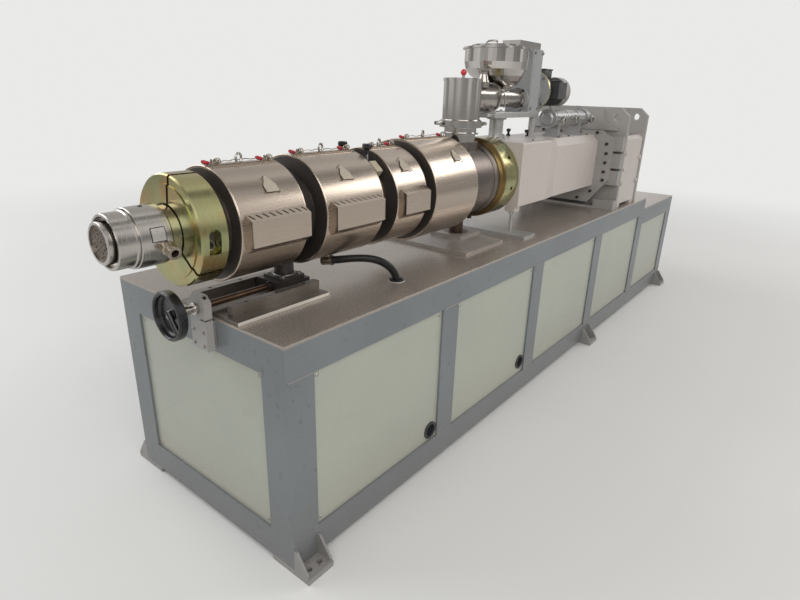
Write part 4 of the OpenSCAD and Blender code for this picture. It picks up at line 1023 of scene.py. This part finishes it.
    def knobs(self) -> None:
        """Puts the two star knobs and the cream block between the second and third cover."""
        star = turned("star_knob_model", [(0, 0), (7, 0), (7, 14), (13, 18), (15, 22), (15, 30), (12, 34), (0, 35)],
                      24)
        edit(star)
        mesh = bmesh.from_edit_mesh(star.data)
        for vertex in mesh.verts:
            if vertex.co.z > 0.015:
                angle = math.atan2(vertex.co.y, vertex.co.x)
                pull = 1 + 0.18 * math.cos(5 * angle)
                vertex.co.x *= pull
                vertex.co.y *= pull
        bmesh.update_edit_mesh(star.data)
        close(star)
        spots = [(at(607, 380, AXIS_Z + 109), Way.UP.vector()), (at(607, 267, AXIS_Z + 109), Way.UP.vector())]
        for x, y in ((607, 380), (607, 267)):
            stem = turned("stem", [(0, 0), (5, 0), (5, 66), (0, 66)], 12)
            lay(stem, at(x, y, AXIS_Z + 94), Way.UP.vector())
            collar = turned("collar", [(4, 0), (11, 0), (12, 2), (12, 10), (10, 12), (4, 12), (4, 0)], 20)
            lay(collar, at(x, y, AXIS_Z + 92), Way.UP.vector())
            SHOP.piece(one(f"knob_stem_{y}", stem, collar), Finishes.BOLT, "turned_steel")
        spots = [(place + Vector((0, 0, 0.045)), up) for place, up in spots]
        SHOP.piece(copies(star, "star_knobs", spots), Finishes.HANDLE, "black_plastic")
        only(star)
        bpy.ops.object.delete()
        block = boxed("cream_block_body", (46, 40, 42), 3.0)
        lay(block, round_axis(607, 108, 130), outward(130))
        step = boxed("cream_block_step", (30, 46, 9), 2.0)
        lay(step, round_axis(607, 149, 130), outward(130))
        SHOP.piece(one("terminal_block", block, step), Finishes.CREAM, "panel_paint")

    def build(self) -> None:
        """Builds everything on the covers."""
        self.terminals()
        self.leads()
        self.tags()
        self.end_rings()
        self.louvres()
        self.knobs()


# Die end and clamp


@dataclass
class DieEnd:
    """Fittings of the adapter, the clamp and the screw bracket."""

    clamp_x: float = -88.0
    clamp_len: float = 82.0
    clamp_r: float = 147.0
    pocket_angles: tuple[float, ...] = (64.0, 184.0, 304.0)

    def clamp_bolts(self) -> None:
        """Sets a socket bolt on a ring washer in each pocket of the clamp."""
        middle = self.clamp_x + self.clamp_len / 2
        washer = turned("ring_washer_model", [(8.5, 0), (14.5, 0), (15, 1), (15, 4), (13.8, 5), (9.5, 5), (8.5, 4),
                                              (8.5, 0)], 32)
        spots = []
        for degrees in self.pocket_angles:
            low = degrees + 7.0
            lean = (outward(degrees) + 0.25 * outward(degrees - 90)).normalized()
            spots.append((round_axis(middle, self.clamp_r - 29.5, low), lean))
        bolts = TOOLS.scaled(TOOLS.socket, "clamp_bolts", spots, 9.6)
        SHOP.piece(bolts, Finishes.DARK_BOLT, "black_steel")
        SHOP.piece(copies(washer, "clamp_washers", spots), Finishes.BOLT, "turned_steel")
        only(washer)
        bpy.ops.object.delete()

    def mesh_plate(self) -> None:
        """Lays a wire screen over the breaker plate, with its lines crossed at a slant."""
        pieces = []
        for way in (40, -50):
            a = math.radians(way)
            along = Vector((0, math.cos(a), math.sin(a)))
            across = Vector((0, -math.sin(a), math.cos(a)))
            for k in range(-6, 7):
                off = k * 6.2
                half = math.sqrt(max(41.0 ** 2 - off ** 2, 1)) / 1000
                middle = at(-257.6, AXIS_Y, AXIS_Z) + across * off / 1000
                pieces.append(wire("strand", [middle - along * half, middle, middle + along * half], 0.8, sides=1))
        SHOP.piece(one("melt_screen", *pieces), Finishes.TURNED, "turned_steel")

    def blank_plate(self) -> None:
        """Bends a blank steel plate with a raised border round the adapter's body."""
        radius, low, high, ahead, behind = 76.0, 154.0, 181.0, -171.0, -133.0
        sheets = []
        for inset, lift in ((0.0, 0.5), (2.2, 1.1)):
            points, faces = [], []
            steps = 10
            turn = math.degrees(inset / radius)
            for k in range(steps + 1):
                degrees = low + turn + (high - low - 2 * turn) * k / steps
                for x in (ahead + inset, behind - inset):
                    points.append(tuple(1000 * c for c in round_axis(x, radius - 0.4, degrees)))
            faces = [(2 * k, 2 * k + 1, 2 * k + 3, 2 * k + 2) for k in range(steps)]
            sheet = from_points("sheet", points, [], faces)
            only(sheet)
            bpy.ops.object.modifier_add(type="SOLIDIFY")
            wall = sheet.modifiers[-1]
            wall.thickness = (lift + 0.4) / 1000
            wall.offset = 1.0
            edit(sheet)
            bpy.ops.mesh.normals_make_consistent(inside=False)
            only(sheet)
            middle = sheet.data.polygons[steps // 2]
            away = middle.center - at(middle.center.x * 1000 + 1875, AXIS_Y, AXIS_Z)
            wall.offset = 1.0 if middle.normal.dot(away) > 0 else -1.0
            bpy.ops.object.modifier_apply(modifier=wall.name)
            sheets.append(close(sheet))
        SHOP.piece(sheets[0], Finishes.DARK_BOLT, "turned_steel").name = "adapter_plate"
        SHOP.piece(sheets[1], Finishes.PLATE, "turned_steel").name = "adapter_plate_field"

    def plug(self) -> None:
        """Closes the small hole on top of the adapter with a plug."""
        plug = turned("adapter_plug", [(0, -4), (6, -4), (6, 1.5), (5, 2.4), (0, 2.4)], 6)
        lay(plug, round_axis(-155, 75, 95), outward(95))
        SHOP.piece(plug, Finishes.DARK_BOLT, "black_steel")

    def bracket_screws(self) -> None:
        """Screws the lead screw's bracket to the frame."""
        spots = [(at(-31.6, y, z), Way.FRONT.vector()) for y in (303, 351) for z in (664, 706)]
        screws = TOOLS.scaled(TOOLS.socket, "bracket_screws", spots, 5.5)
        SHOP.piece(screws, Finishes.BOLT, "turned_steel")
        pinch = TOOLS.scaled(TOOLS.socket, "bracket_pinch_bolt",
                             [(at(-20, 303, SCREW_Z + 30.0), Vector((0, -0.55, 0.83)))], 5.5)
        SHOP.piece(pinch, Finishes.DARK_BOLT, "black_steel")

    def wheel_cap(self) -> None:
        """Caps the handwheel's hub with a bright washer and nut."""
        cap = turned("wheel_cap", [(0, 0), (15.5, 0), (15.5, 1.6), (14.5, 2.4), (10, 2.4), (10, 6), (8, 8), (4, 9),
                                   (0, 9)], 28)
        lay(cap, at(-110.2, AXIS_Y, SCREW_Z), Way.FRONT.vector())
        SHOP.piece(cap, Finishes.BOLT, "turned_steel", WHEEL)

    def screw_sleeve(self) -> None:
        """Slides the bright sleeve over the screw between the wheel and the bracket."""
        sleeve = turned("screw_sleeve", [
            (9.9, 0), (13, 0), (14, 1), (14, 13), (11, 14), (11, 30.2), (16.6, 30.2), (17.2, 31), (17.2, 39.4),
            (16.2, 40.2), (9.9, 40.2), (9.9, 0)], 40)
        lay(sleeve, at(-73, AXIS_Y, SCREW_Z), Way.BACK.vector())
        SHOP.piece(sleeve, Finishes.TURNED, "turned_steel", WHEEL)

    def bed_edge(self) -> None:
        """Lays bright strips of painted highlight along the bed plate's long edges and welds the screw's bracket on.
        """
        # painted highlight: a bright strip over each long edge of the bed plate, where the light catches it
        near = boxed("near_edge", (343, 1.0, 9.6), 0.2)
        lay(near, at(175.5, 189.7, DECK + 0.2))
        far = boxed("far_edge", (343, 1.0, 9.6), 0.2)
        lay(far, at(175.5, 464.3, DECK + 0.2))
        SHOP.piece(one("bed_edge_highlights", near, far), Finishes.EDGE_HIGHLIGHT, "bed_steel")
        beads = [wire("bracket_bead", [at(-2.5, y, z) for z in range(662, 729, 6)], 4.0, sides=1) for y in (292, 362)]
        SHOP.piece(one("bracket_welds", *beads), Finishes.WELD, "frame_paint")

    def bed(self) -> None:
        """Bolts the rails, the carriage and the post's flange."""
        rails = [(at(x, y, 782), Way.UP.vector()) for y in (241, 413) for x in (70.8, 178.5, 286.2)]
        SHOP.piece(TOOLS.scaled(TOOLS.socket, "rail_screws", rails, 6.5), Finishes.DARK_BOLT, "black_steel")
        flange = [(at(282.5 + dx, AXIS_Y + dy, 803), Way.UP.vector(), 17 * dx) for dx in (-33, 33)
                  for dy in (-33, 33)]
        SHOP.piece(TOOLS.scaled(TOOLS.hex, "post_bolts", flange, 7.6), Finishes.BOLT, "turned_steel")
        bead = [at(282.5 + 33.5 * math.cos(a), AXIS_Y + 33.5 * math.sin(a), 804.5)
                for a in (math.radians(d) for d in range(0, 360, 15))]
        SHOP.piece(wire("post_weld", bead, 3.2, closed=True), Finishes.WELD, "black_steel")

    def build(self) -> None:
        """Builds the fittings of the die end."""
        self.clamp_bolts()
        self.mesh_plate()
        self.blank_plate()
        self.plug()
        self.bracket_screws()
        self.wheel_cap()
        self.screw_sleeve()
        self.bed_edge()
        self.bed()


# Drive end


@dataclass
class DriveEnd:
    """Bolts and fittings of the housing, the gearbox and the cooler."""

    flange_x: float = 2440.0
    wall_front: float = 2510.0

    def collar_ring(self) -> None:
        """Lays the amber passivated ring over the lock collar's front bevel."""
        ring = turned("collar_ring", [(150.5, -0.8), (160.3, -0.8), (170.7, 9.6), (174.4, 22), (174.4, 30), (173, 30),
                                      (173, 22.5), (169.5, 10.5), (159.5, 0.5), (150.5, 0.5), (150.5, -0.8)], 96)
        lay(ring, at(1354, AXIS_Y, AXIS_Z), Way.BACK.vector())
        SHOP.piece(ring, Finishes.BRONZE, "zinc")

    def flange_bolts(self) -> None:
        """Bolts the neck's flange all round."""
        offsets = [(224, 1110), (229, 1058), (229, 1008), (229, 957), (229, 911), (168, 842), (163, 1168), (60, 1168),
                   (96, 796)]
        spots = []
        for side in (-1, 1):
            spots += [(at(self.flange_x, AXIS_Y + side * dy, z), Way.FRONT.vector()) for dy, z in offsets]
        SHOP.piece(TOOLS.scaled(TOOLS.socket, "flange_bolts", spots, 9.0), Finishes.DARK_BOLT, "black_steel")

    def wall_bolts(self) -> None:
        """Bolts both sides of the gear case through the walls, with their long studs."""
        spots, studs = [], []
        for side in (-1, 1):
            for z in (1092, 1031, 983, 924):
                spots.append((at(self.wall_front, AXIS_Y + side * 262, z), Way.FRONT.vector(), 30))
                stud = turned("stud", [(0, 0), (5.5, 0), (5.5, 40), (0, 40)], 12)
                studs.append(lay(stud, at(self.wall_front - 34, AXIS_Y + side * 262, z), Way.BACK.vector()))
        SHOP.piece(TOOLS.scaled(TOOLS.hex, "wall_nuts", spots, 10.5), Finishes.BOLT, "turned_steel")
        SHOP.piece(one("wall_studs", *studs), Finishes.BOLT, "turned_steel")

    def case_bolts(self) -> None:
        """Bolts the gear case's cover and both end walls."""
        top = [(at(x, AXIS_Y + s * 268, 1151), Way.UP.vector(), x) for x in (2575, 2640, 2705, 2770) for s in (-1, 1)]
        back = [(at(2880, AXIS_Y + dy, z), Way.BACK.vector(), z) for dy in (-250, -130, 130, 250)
                for z in (800, 1105)]
        back += [(at(2880, AXIS_Y + s * 250, z), Way.BACK.vector(), z) for s in (-1, 1) for z in (900, 1005)]
        SHOP.piece(TOOLS.scaled(TOOLS.hex, "case_bolts", top + back, 9.5), Finishes.BOLT, "turned_steel")
        edges = [(2562, 1056), (2562, 967), (2562, 883), (2828, 1021), (2828, 884)]
        sides = [(at(x, AXIS_Y + s * 296, z), way.vector(), z) for x, z in edges
                 for s, way in ((-1, Way.NEAR), (1, Way.FAR))]
        SHOP.piece(TOOLS.scaled(TOOLS.hex, "case_side_bolts", sides, 12.0), Finishes.HOUSING, "housing_paint")

    def top_fittings(self) -> None:
        """Stands the lifting eyes and the breather on the gear case."""
        ring = [Vector((0, 17 * math.cos(a), 27 + 17 * math.sin(a))) / 1000
                for a in (math.radians(d) for d in range(0, 360, 30))]
        eye = one("eye_bolt_model", wire("ring", ring, 5.0, closed=True),
                  turned("shank", [(0, 0), (15, 0), (15, 4), (10, 7), (7, 13), (0, 13)], 20))
        SHOP.piece(copies(eye, "eye_bolts", [(at(2640, AXIS_Y - 120, 1151), Way.UP.vector(), 30),
                                             (at(2760, AXIS_Y + 120, 1151), Way.UP.vector(), 30)]),
                   Finishes.BOLT, "turned_steel")
        only(eye)
        bpy.ops.object.delete()
        breather = turned("breather", [(0, 0), (16, 0), (16, 6), (12, 9), (12, 20), (22, 23), (22, 38), (18, 42),
                                       (0, 43)], 28)
        SHOP.piece(lay(breather, at(2705, AXIS_Y + 20, 1151), Way.UP.vector()), Finishes.BOLT, "turned_steel")

    def t_knobs(self) -> None:
        """Stands the two black wing knobs on the housing."""
        stem = turned("wing_stem", [(0, 0), (10, 0), (11, 2), (11, 7), (6, 10), (6, 24), (9, 30), (0, 32)], 20)
        bar = drawn("wing_bar", [(-29, -7), (-24, -10), (24, -10), (29, -7), (29, 7), (24, 10), (-24, 10), (-29, 7)],
                    13, 3.0)
        bar = lay(bar, Vector((0, 0, 0.022)))
        knob = one("wing_knob_model", stem, bar)
        spots = [(at(1876, 425, 1156), Way.UP.vector(), 25), (at(1900, 329, 1156), Way.UP.vector(), 10)]
        SHOP.piece(copies(knob, "wing_knobs", spots), Finishes.HANDLE, "black_plastic")
        only(knob)
        bpy.ops.object.delete()

    def housing_screws(self) -> None:
        """Plugs the tapped holes on top of the housing."""
        spots = [(at(x, AXIS_Y + dy, 1155.2), Way.UP.vector(), x) for x, dy in
                 ((1640, 120), (1700, -128), (1880, 128), (2010, -120), (2160, -110), (2300, -40), (2390, -120))]
        SHOP.piece(TOOLS.scaled(TOOLS.socket, "housing_plugs", spots, 6.0), Finishes.DARK_BOLT, "black_steel")

    def cooler(self) -> None:
        """Gives the oil cooler its ports, band clamps and end bolts."""
        y, z = 250.0, 1246.0
        port = turned("port_model", [(0, 0), (15, 0), (15, 8), (13, 10), (13, 18), (19, 20), (19, 31), (16, 34),
                                     (9, 34), (9, 28), (0, 28)], 8)
        spots = [(at(1998, y - 38, z - 6), Way.NEAR.vector(), 10), (at(2160, y - 38, z), Way.NEAR.vector(), 25),
                 (at(2375, y - 38, z - 6), Way.NEAR.vector(), 5)]
        SHOP.piece(copies(port, "cooler_ports", spots), Finishes.BOLT, "turned_steel")
        end = [(at(2425, y + 24 * math.cos(a), z + 24 * math.sin(a)), Way.BACK.vector())
               for a in (math.radians(d) for d in range(30, 390, 60))]
        SHOP.piece(TOOLS.scaled(TOOLS.hex, "cooler_end_bolts", end, 5.5), Finishes.BOLT, "turned_steel")
        bands = []
        for x in (1990, 2120, 2250, 2372):
            band = turned("band", [(40.2, -5), (42.0, -5), (42.6, 0), (42.0, 5), (40.2, 5), (40.2, -5)], 48)
            bands.append(lay(band, at(x, y, z), Way.BACK.vector()))
        SHOP.piece(one("cooler_bands", *bands), Finishes.COOLER, "cooler_metal")
        only(port)
        bpy.ops.object.delete()

    def build(self) -> None:
        """Builds the fittings of the drive end."""
        self.collar_ring()
        self.flange_bolts()
        self.wall_bolts()
        self.case_bolts()
        self.top_fittings()
        self.t_knobs()
        self.housing_screws()
        self.cooler()


# Feeder


@dataclass
class Feeder:
    """Fittings of the throat, the metering barrel, the hopper and the motor."""

    throat_x: float = 1262.0
    ball_z: float = 1434.0
    housing_top: float = 1156.0
    barrel_z: float = 1340.0
    case_x: float = 1750.0
    motor_x: float = 1902.0
    motor_z: float = 1374.0

    def stand(self) -> None:
        """Models the stand: its plate with the tongue, the flanged column and the slim rear leg."""
        long, wide, thick, low = 422.0, 136.0, 25.0, 1256.0
        top = drawn("stand_plate", [(0, -wide / 2), (long, -wide / 2), (long, wide / 2), (0, wide / 2)], thick, 2.0)
        lay(top, at(1430, AXIS_Y, low), turn=180.0)
        tongue = drawn("stand_tongue", [(0, -52), (4, -56), (60, -56), (60, 56), (4, 56), (0, 52)], 13, 1.0)
        lay(tongue, at(1390, AXIS_Y, low + 5), turn=180.0)
        column = turned("stand_column", [
            (0, 0), (48, 0), (48, 9), (47, 10), (36, 10), (33, 12), (32, 15), (32, 86), (33, 89), (36, 91), (44, 91),
            (44, 101.4), (0, 101.4)], 48)
        lay(column, at(1566, AXIS_Y, self.housing_top))
        leg = turned("stand_leg", [(0, 0), (24, 0), (24, 7), (23, 8), (13, 8), (13, 92), (16, 93), (16, 101.4),
                                   (0, 101.4)], 32)
        lay(leg, at(1834, 277, self.housing_top))
        stand = SHOP.piece(one("feeder_stand_dressed", top, tongue, column, leg), Finishes.STAND, "feeder_paint")
        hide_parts("feeder_stand")
        bolts = [(at(1566 + 40 * math.cos(a), AXIS_Y + 40 * math.sin(a), self.housing_top + 10), Way.UP.vector(), 10)
                 for a in (math.radians(d) for d in (45, 135, 225, 315))]
        SHOP.piece(TOOLS.scaled(TOOLS.hex, "stand_bolts", bolts, 5.5), Finishes.BOLT, "turned_steel")

    def ball(self) -> None:
        """Covers the lid's knob with the red ball."""
        ball = turned("red_ball", [(0, -12.6)] + [(12.7 * math.cos(a), 12.7 * math.sin(a)) for a in
                                                 (math.radians(d) for d in range(-75, 76, 15))] + [(0, 12.7)], 28)
        lay(ball, at(self.throat_x, AXIS_Y, self.ball_z))
        SHOP.piece(ball, Finishes.RED, "black_plastic")

    def clamp_levers(self) -> None:
        """Closes the throat clamp's ears with bolts and wing levers."""
        pieces = []
        for degrees in (-35, 145):
            a = math.radians(degrees)
            out = Vector((math.cos(a), math.sin(a), 0))
            across = Vector((-math.sin(a), math.cos(a), 0))
            middle = at(self.throat_x, AXIS_Y, 1236) + out * 0.103
            bolt = turned("clamp_bolt", [(0, -24), (7, -24), (7, -18), (3.8, -18), (3.8, 22), (7, 22), (7, 27),
                                         (0, 27)], 12)
            pieces.append(lay(bolt, middle, across))
            wing = drawn("wing", [(-17, 0), (-12, 8), (12, 8), (17, 0), (6, -5), (-6, -5)], 5, 1.2)
            pieces.append(lay(wing, middle + across * 0.027, across, 20))
        SHOP.piece(one("throat_clamp_bolts", *pieces), Finishes.BOLT, "turned_steel")

    def barrel_latch(self) -> None:
        """Puts the hinge clamp with its lever on the metering barrel's joint."""
        x, z = self.throat_x + 78 + 150 - 5, self.barrel_z
        band = turned("band", [(58.2, -8), (61, -8), (62, -6), (62, 6), (61, 8), (58.2, 8), (58.2, -8)], 48)
        lay(band, at(x, AXIS_Y, z), Way.BACK.vector())
        cutter = boxed("cutter", (300, 300, 120), 0)
        lay(cutter, at(x, AXIS_Y, z - 58.4 - 120))
        band = cut(band, cutter)
        lug = boxed("lug", (20, 18, 16), 2)
        lay(lug, at(x, AXIS_Y - 55, z + 20))
        lever = wire("lever", [at(x, AXIS_Y - 66, z + 26), at(x + 6, AXIS_Y - 76, z + 12), at(x + 14, AXIS_Y - 74, z - 14),
                               at(x + 18, AXIS_Y - 66, z - 40)], 3.4)
        nut = turned("nut", [(0, 0), (8, 0), (8, 7), (6, 9), (0, 9)], 6)
        lay(nut, at(x, AXIS_Y - 64, z + 28), Way.NEAR.vector())
        SHOP.piece(one("barrel_latch", band, lug, lever, nut), Finishes.BOLT, "turned_steel")

    def case_bolts(self) -> None:
        """Faces and bolts the barrel's flange, and bolts the case's cover and the lid's bracket."""
        face = turned("case_flange", [(40.8, 0), (58.6, 0), (58.6, 11.4), (57.6, 12.4), (41.8, 12.4), (40.8, 11.4),
                                      (40.8, 0)], 64)
        SHOP.piece(lay(face, at(self.case_x, AXIS_Y, self.barrel_z), Way.FRONT.vector()), Finishes.FEEDER,
                   "feeder_paint")
        ring = [(at(self.case_x - 12, AXIS_Y + 48 * math.cos(a), self.barrel_z + 48 * math.sin(a)),
                 Way.FRONT.vector(), d) for d, a in ((d, math.radians(d)) for d in (45, 135, 225, 315))]
        SHOP.piece(TOOLS.scaled(TOOLS.socket, "case_flange_bolts", ring, 6.0), Finishes.DARK_BOLT, "black_steel")
        base = [(at(x, AXIS_Y + s * 56, 1281), Way.UP.vector(), x) for x in (1700, 1720) for s in (-1, 1)][:2]
        base += [(at(1470, AXIS_Y + s * 56, 1281), Way.UP.vector(), 10) for s in (-1, 1)]
        side = [(at(1760 + 76 * k, AXIS_Y - 66, z), Way.NEAR.vector(), z) for k in (0, 1) for z in (1296, 1538)]
        SHOP.piece(TOOLS.scaled(TOOLS.hex, "feeder_bolts", base + side, 6.5), Finishes.BOLT, "turned_steel")

    def lid_fittings(self) -> None:
        """Adds the lid's handle."""
        handle = wire("lid_handle", [at(1470, AXIS_Y - 30, 1553), at(1470, AXIS_Y - 30, 1566), at(1474, AXIS_Y, 1570),
                                     at(1470, AXIS_Y + 30, 1566), at(1470, AXIS_Y + 30, 1553)], 4.0)
        SHOP.piece(handle, Finishes.BOLT, "turned_steel")

    def motor(self) -> None:
        """Dresses the motor with its mounting ring, fan cowl and terminal box."""
        ring = turned("motor_ring", [(70, 0), (92, 0), (94, 2), (94, 9), (91, 11), (78, 12), (70, 12), (70, 0)], 48)
        lay(ring, at(self.motor_x - 6, AXIS_Y, self.motor_z), Way.BACK.vector())
        SHOP.piece(ring, Finishes.ZINC, "zinc")
        screws = [(at(self.motor_x - 6, AXIS_Y + 82 * math.cos(a), self.motor_z + 82 * math.sin(a)),
                   Way.FRONT.vector(), d) for d, a in ((d, math.radians(d)) for d in (45, 135, 225, 315))]
        SHOP.piece(TOOLS.scaled(TOOLS.hex, "motor_screws", screws, 6.0), Finishes.BOLT, "turned_steel")
        cowl = turned("fan_cowl", [(70.6, 0), (72.6, 0), (72.6, 60), (69, 66), (64, 66), (64, 64.5), (68, 64),
                                   (70.6, 60), (70.6, 0)], 48)
        lay(cowl, at(self.motor_x + 240, AXIS_Y, self.motor_z), Way.BACK.vector())
        SHOP.piece(cowl, Finishes.COWL, "feeder_paint")
        box = boxed("motor_box_body", (84, 62, 34), 4)
        lay(box, at(self.motor_x + 96, AXIS_Y, self.motor_z + 66))
        lid = boxed("motor_box_lid", (90, 68, 7), 2)
        lay(lid, at(self.motor_x + 96, AXIS_Y, self.motor_z + 99))
        SHOP.piece(one("motor_box", box, lid), Finishes.MOTOR, "motor_paint")

    def drum(self) -> None:
        """Fits the inspection pocket with its bolt and the black nipple on the feed drum."""
        frame_plate = drawn("pocket_plate", [(-26, -15), (26, -15), (26, 15), (-26, 15)], 3.0, 1.0)
        hole = drawn("hole", [(-19, -9), (19, -9), (19, 9), (-19, 9)], 20, 0)
        hole.location.z = 0.0012
        settle(hole)
        frame_plate = cut(frame_plate, hole)
        lay(frame_plate, round_axis(1340, 149.5, 120), outward(120))
        SHOP.piece(frame_plate, Finishes.DARK_BOLT, "black_steel")
        bolt = TOOLS.scaled(TOOLS.hex, "pocket_bolt", [(round_axis(1345, 151, 120), outward(120))], 6.0)
        SHOP.piece(bolt, Finishes.BOLT, "turned_steel")
        nipple = turned("drum_nipple", [(0, 0), (9, 0), (9, 12), (7, 14), (7, 22), (10, 24), (10, 32), (0, 33)], 20)
        lay(nipple, round_axis(1345, 147, 262), outward(262))
        SHOP.piece(nipple, Finishes.RUBBER, "rubber")

    def build(self) -> None:
        """Builds the feeder's fittings."""
        self.stand()
        self.ball()
        self.clamp_levers()
        self.barrel_latch()
        self.case_bolts()
        self.lid_fittings()
        self.motor()
        self.drum()


# Base frame


@dataclass
class BaseFrame:
    """Weld beads and trim of the base frame."""

    posts: tuple[float, ...] = (0.0, 718.0, 1436.0, 2193.0, 2950.0, 3650.0)
    tube: float = 100.0
    foot: float = 20.0
    main_top: float = 638.0
    tail_top: float = 572.0
    inset: float = 8.0
    length: float = 3750.0

    def bead(self, a: Vector, b: Vector, radius: float = 2.6) -> bpy.types.Object:
        """Runs a slightly uneven weld bead between two places."""
        count = max(4, int((b - a).length / 0.02))
        wobble = Vector((0.0004, 0.0003, 0.0004))
        points = [a.lerp(b, k / count) + wobble * math.sin(2.1 * k) for k in range(count + 1)]
        return wire("bead", points, radius, sides=1)

    def post_welds(self) -> None:
        """Welds the posts to the rails on both long sides."""
        beads = []
        for i, x in enumerate(self.posts):
            top = self.main_top if i < 5 else self.tail_top
            for y in (0.6, 2 * HALF_WIDTH - 0.6):
                for z in (self.foot + self.tube, top):
                    beads.append(self.bead(at(x + 6, y, z), at(x + self.tube - 6, y, z)))
        SHOP.piece(one("post_welds", *beads), Finishes.WELD, "frame_paint")

    def foot_welds(self) -> None:
        """Welds the feet's gussets to the rails and plates."""
        beads = []
        for x in (0.0, 2193.0, 3650.0):
            for near in (True, False):
                y = -0.6 if near else 2 * HALF_WIDTH + 0.6
                for gx in (x + 3, x + self.tube - 3):
                    beads.append(self.bead(at(gx, y, 24), at(gx, y, 70), 2.2))
                beads.append(self.bead(at(x + 4, y, 21), at(x + self.tube - 4, y, 21), 2.4))
        SHOP.piece(one("foot_welds", *beads), Finishes.WELD, "foot_steel")

    def panel_screws(self) -> None:
        """Screws every panel down at its four corners."""
        head = turned("pan_head", [(0, -1), (6, -1), (6, 1), (4.6, 2.6), (2, 3.2), (1.6, 2.0), (0, 2.0)], 14)
        low, edge, wide = self.foot + self.tube, 17.0, 2 * HALF_WIDTH
        spots = []
        for bay, (start, end) in enumerate(zip(self.posts[:-1], self.posts[1:])):
            top = self.main_top if bay < 4 else self.tail_top
            for x in (start + self.tube + edge, end - edge):
                for z in (low + edge, top - edge):
                    spots.append((at(x, self.inset, z), Way.NEAR.vector(), x))
                    spots.append((at(x, wide - self.inset, z), Way.FAR.vector(), x))
        for x, way, top in ((self.inset, Way.FRONT, self.main_top), (self.length - self.inset, Way.BACK, self.tail_top)):
            for y in (self.tube + edge, wide - self.tube - edge):
                spots += [(at(x, y, z), way.vector(), y) for z in (low + edge, top - edge)]
        SHOP.piece(copies(head, "panel_screws", spots), Finishes.BOLT, "turned_steel")
        only(head)
        bpy.ops.object.delete()

    def deck_trim(self) -> None:
        """Runs a thin bead along the deck's near edges, which catches the light as a bright line, and rings the hose
        hole with a painted highlight.
        """
        beads = [self.bead(at(2, 1.0, DECK - 0.8), at(3050, 1.0, DECK - 0.8), 1.2),
                 self.bead(at(1.0, 2, DECK - 0.8), at(1.0, 834, DECK - 0.8), 1.2)]
        SHOP.piece(one("deck_edges", *beads), Finishes.DECK, "deck_steel")
        # painted highlight: a bright ring on the rim of the hose hole
        ring = turned("hose_hole_ring", [(25.8, -0.4), (29.4, -0.4), (29.4, 0.5), (28.6, 1.0), (25.8, 1.0),
                                         (25.8, -0.4)], 48)
        SHOP.piece(lay(ring, at(605, 127, DECK)), Finishes.EDGE_HIGHLIGHT, "deck_steel")

    def build(self) -> None:
        """Builds the welds and trim."""
        self.post_welds()
        self.foot_welds()
        self.panel_screws()
        self.deck_trim()


def main() -> None:
    """Builds the studio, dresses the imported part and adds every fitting."""
    Studio().build()
    Hose().build()
    for name, finish in NODE_FINISH.items():
        SHOP.node(name, finish)
    Covers().build()
    DieEnd().build()
    DriveEnd().build()
    Feeder().build()
    BaseFrame().build()
    TOOLS.put_away()
    LOG.info("pieces: %d, finishes: %d", SHOP.count, len(SHOP.made))


if __name__ == "__main__":
    main()
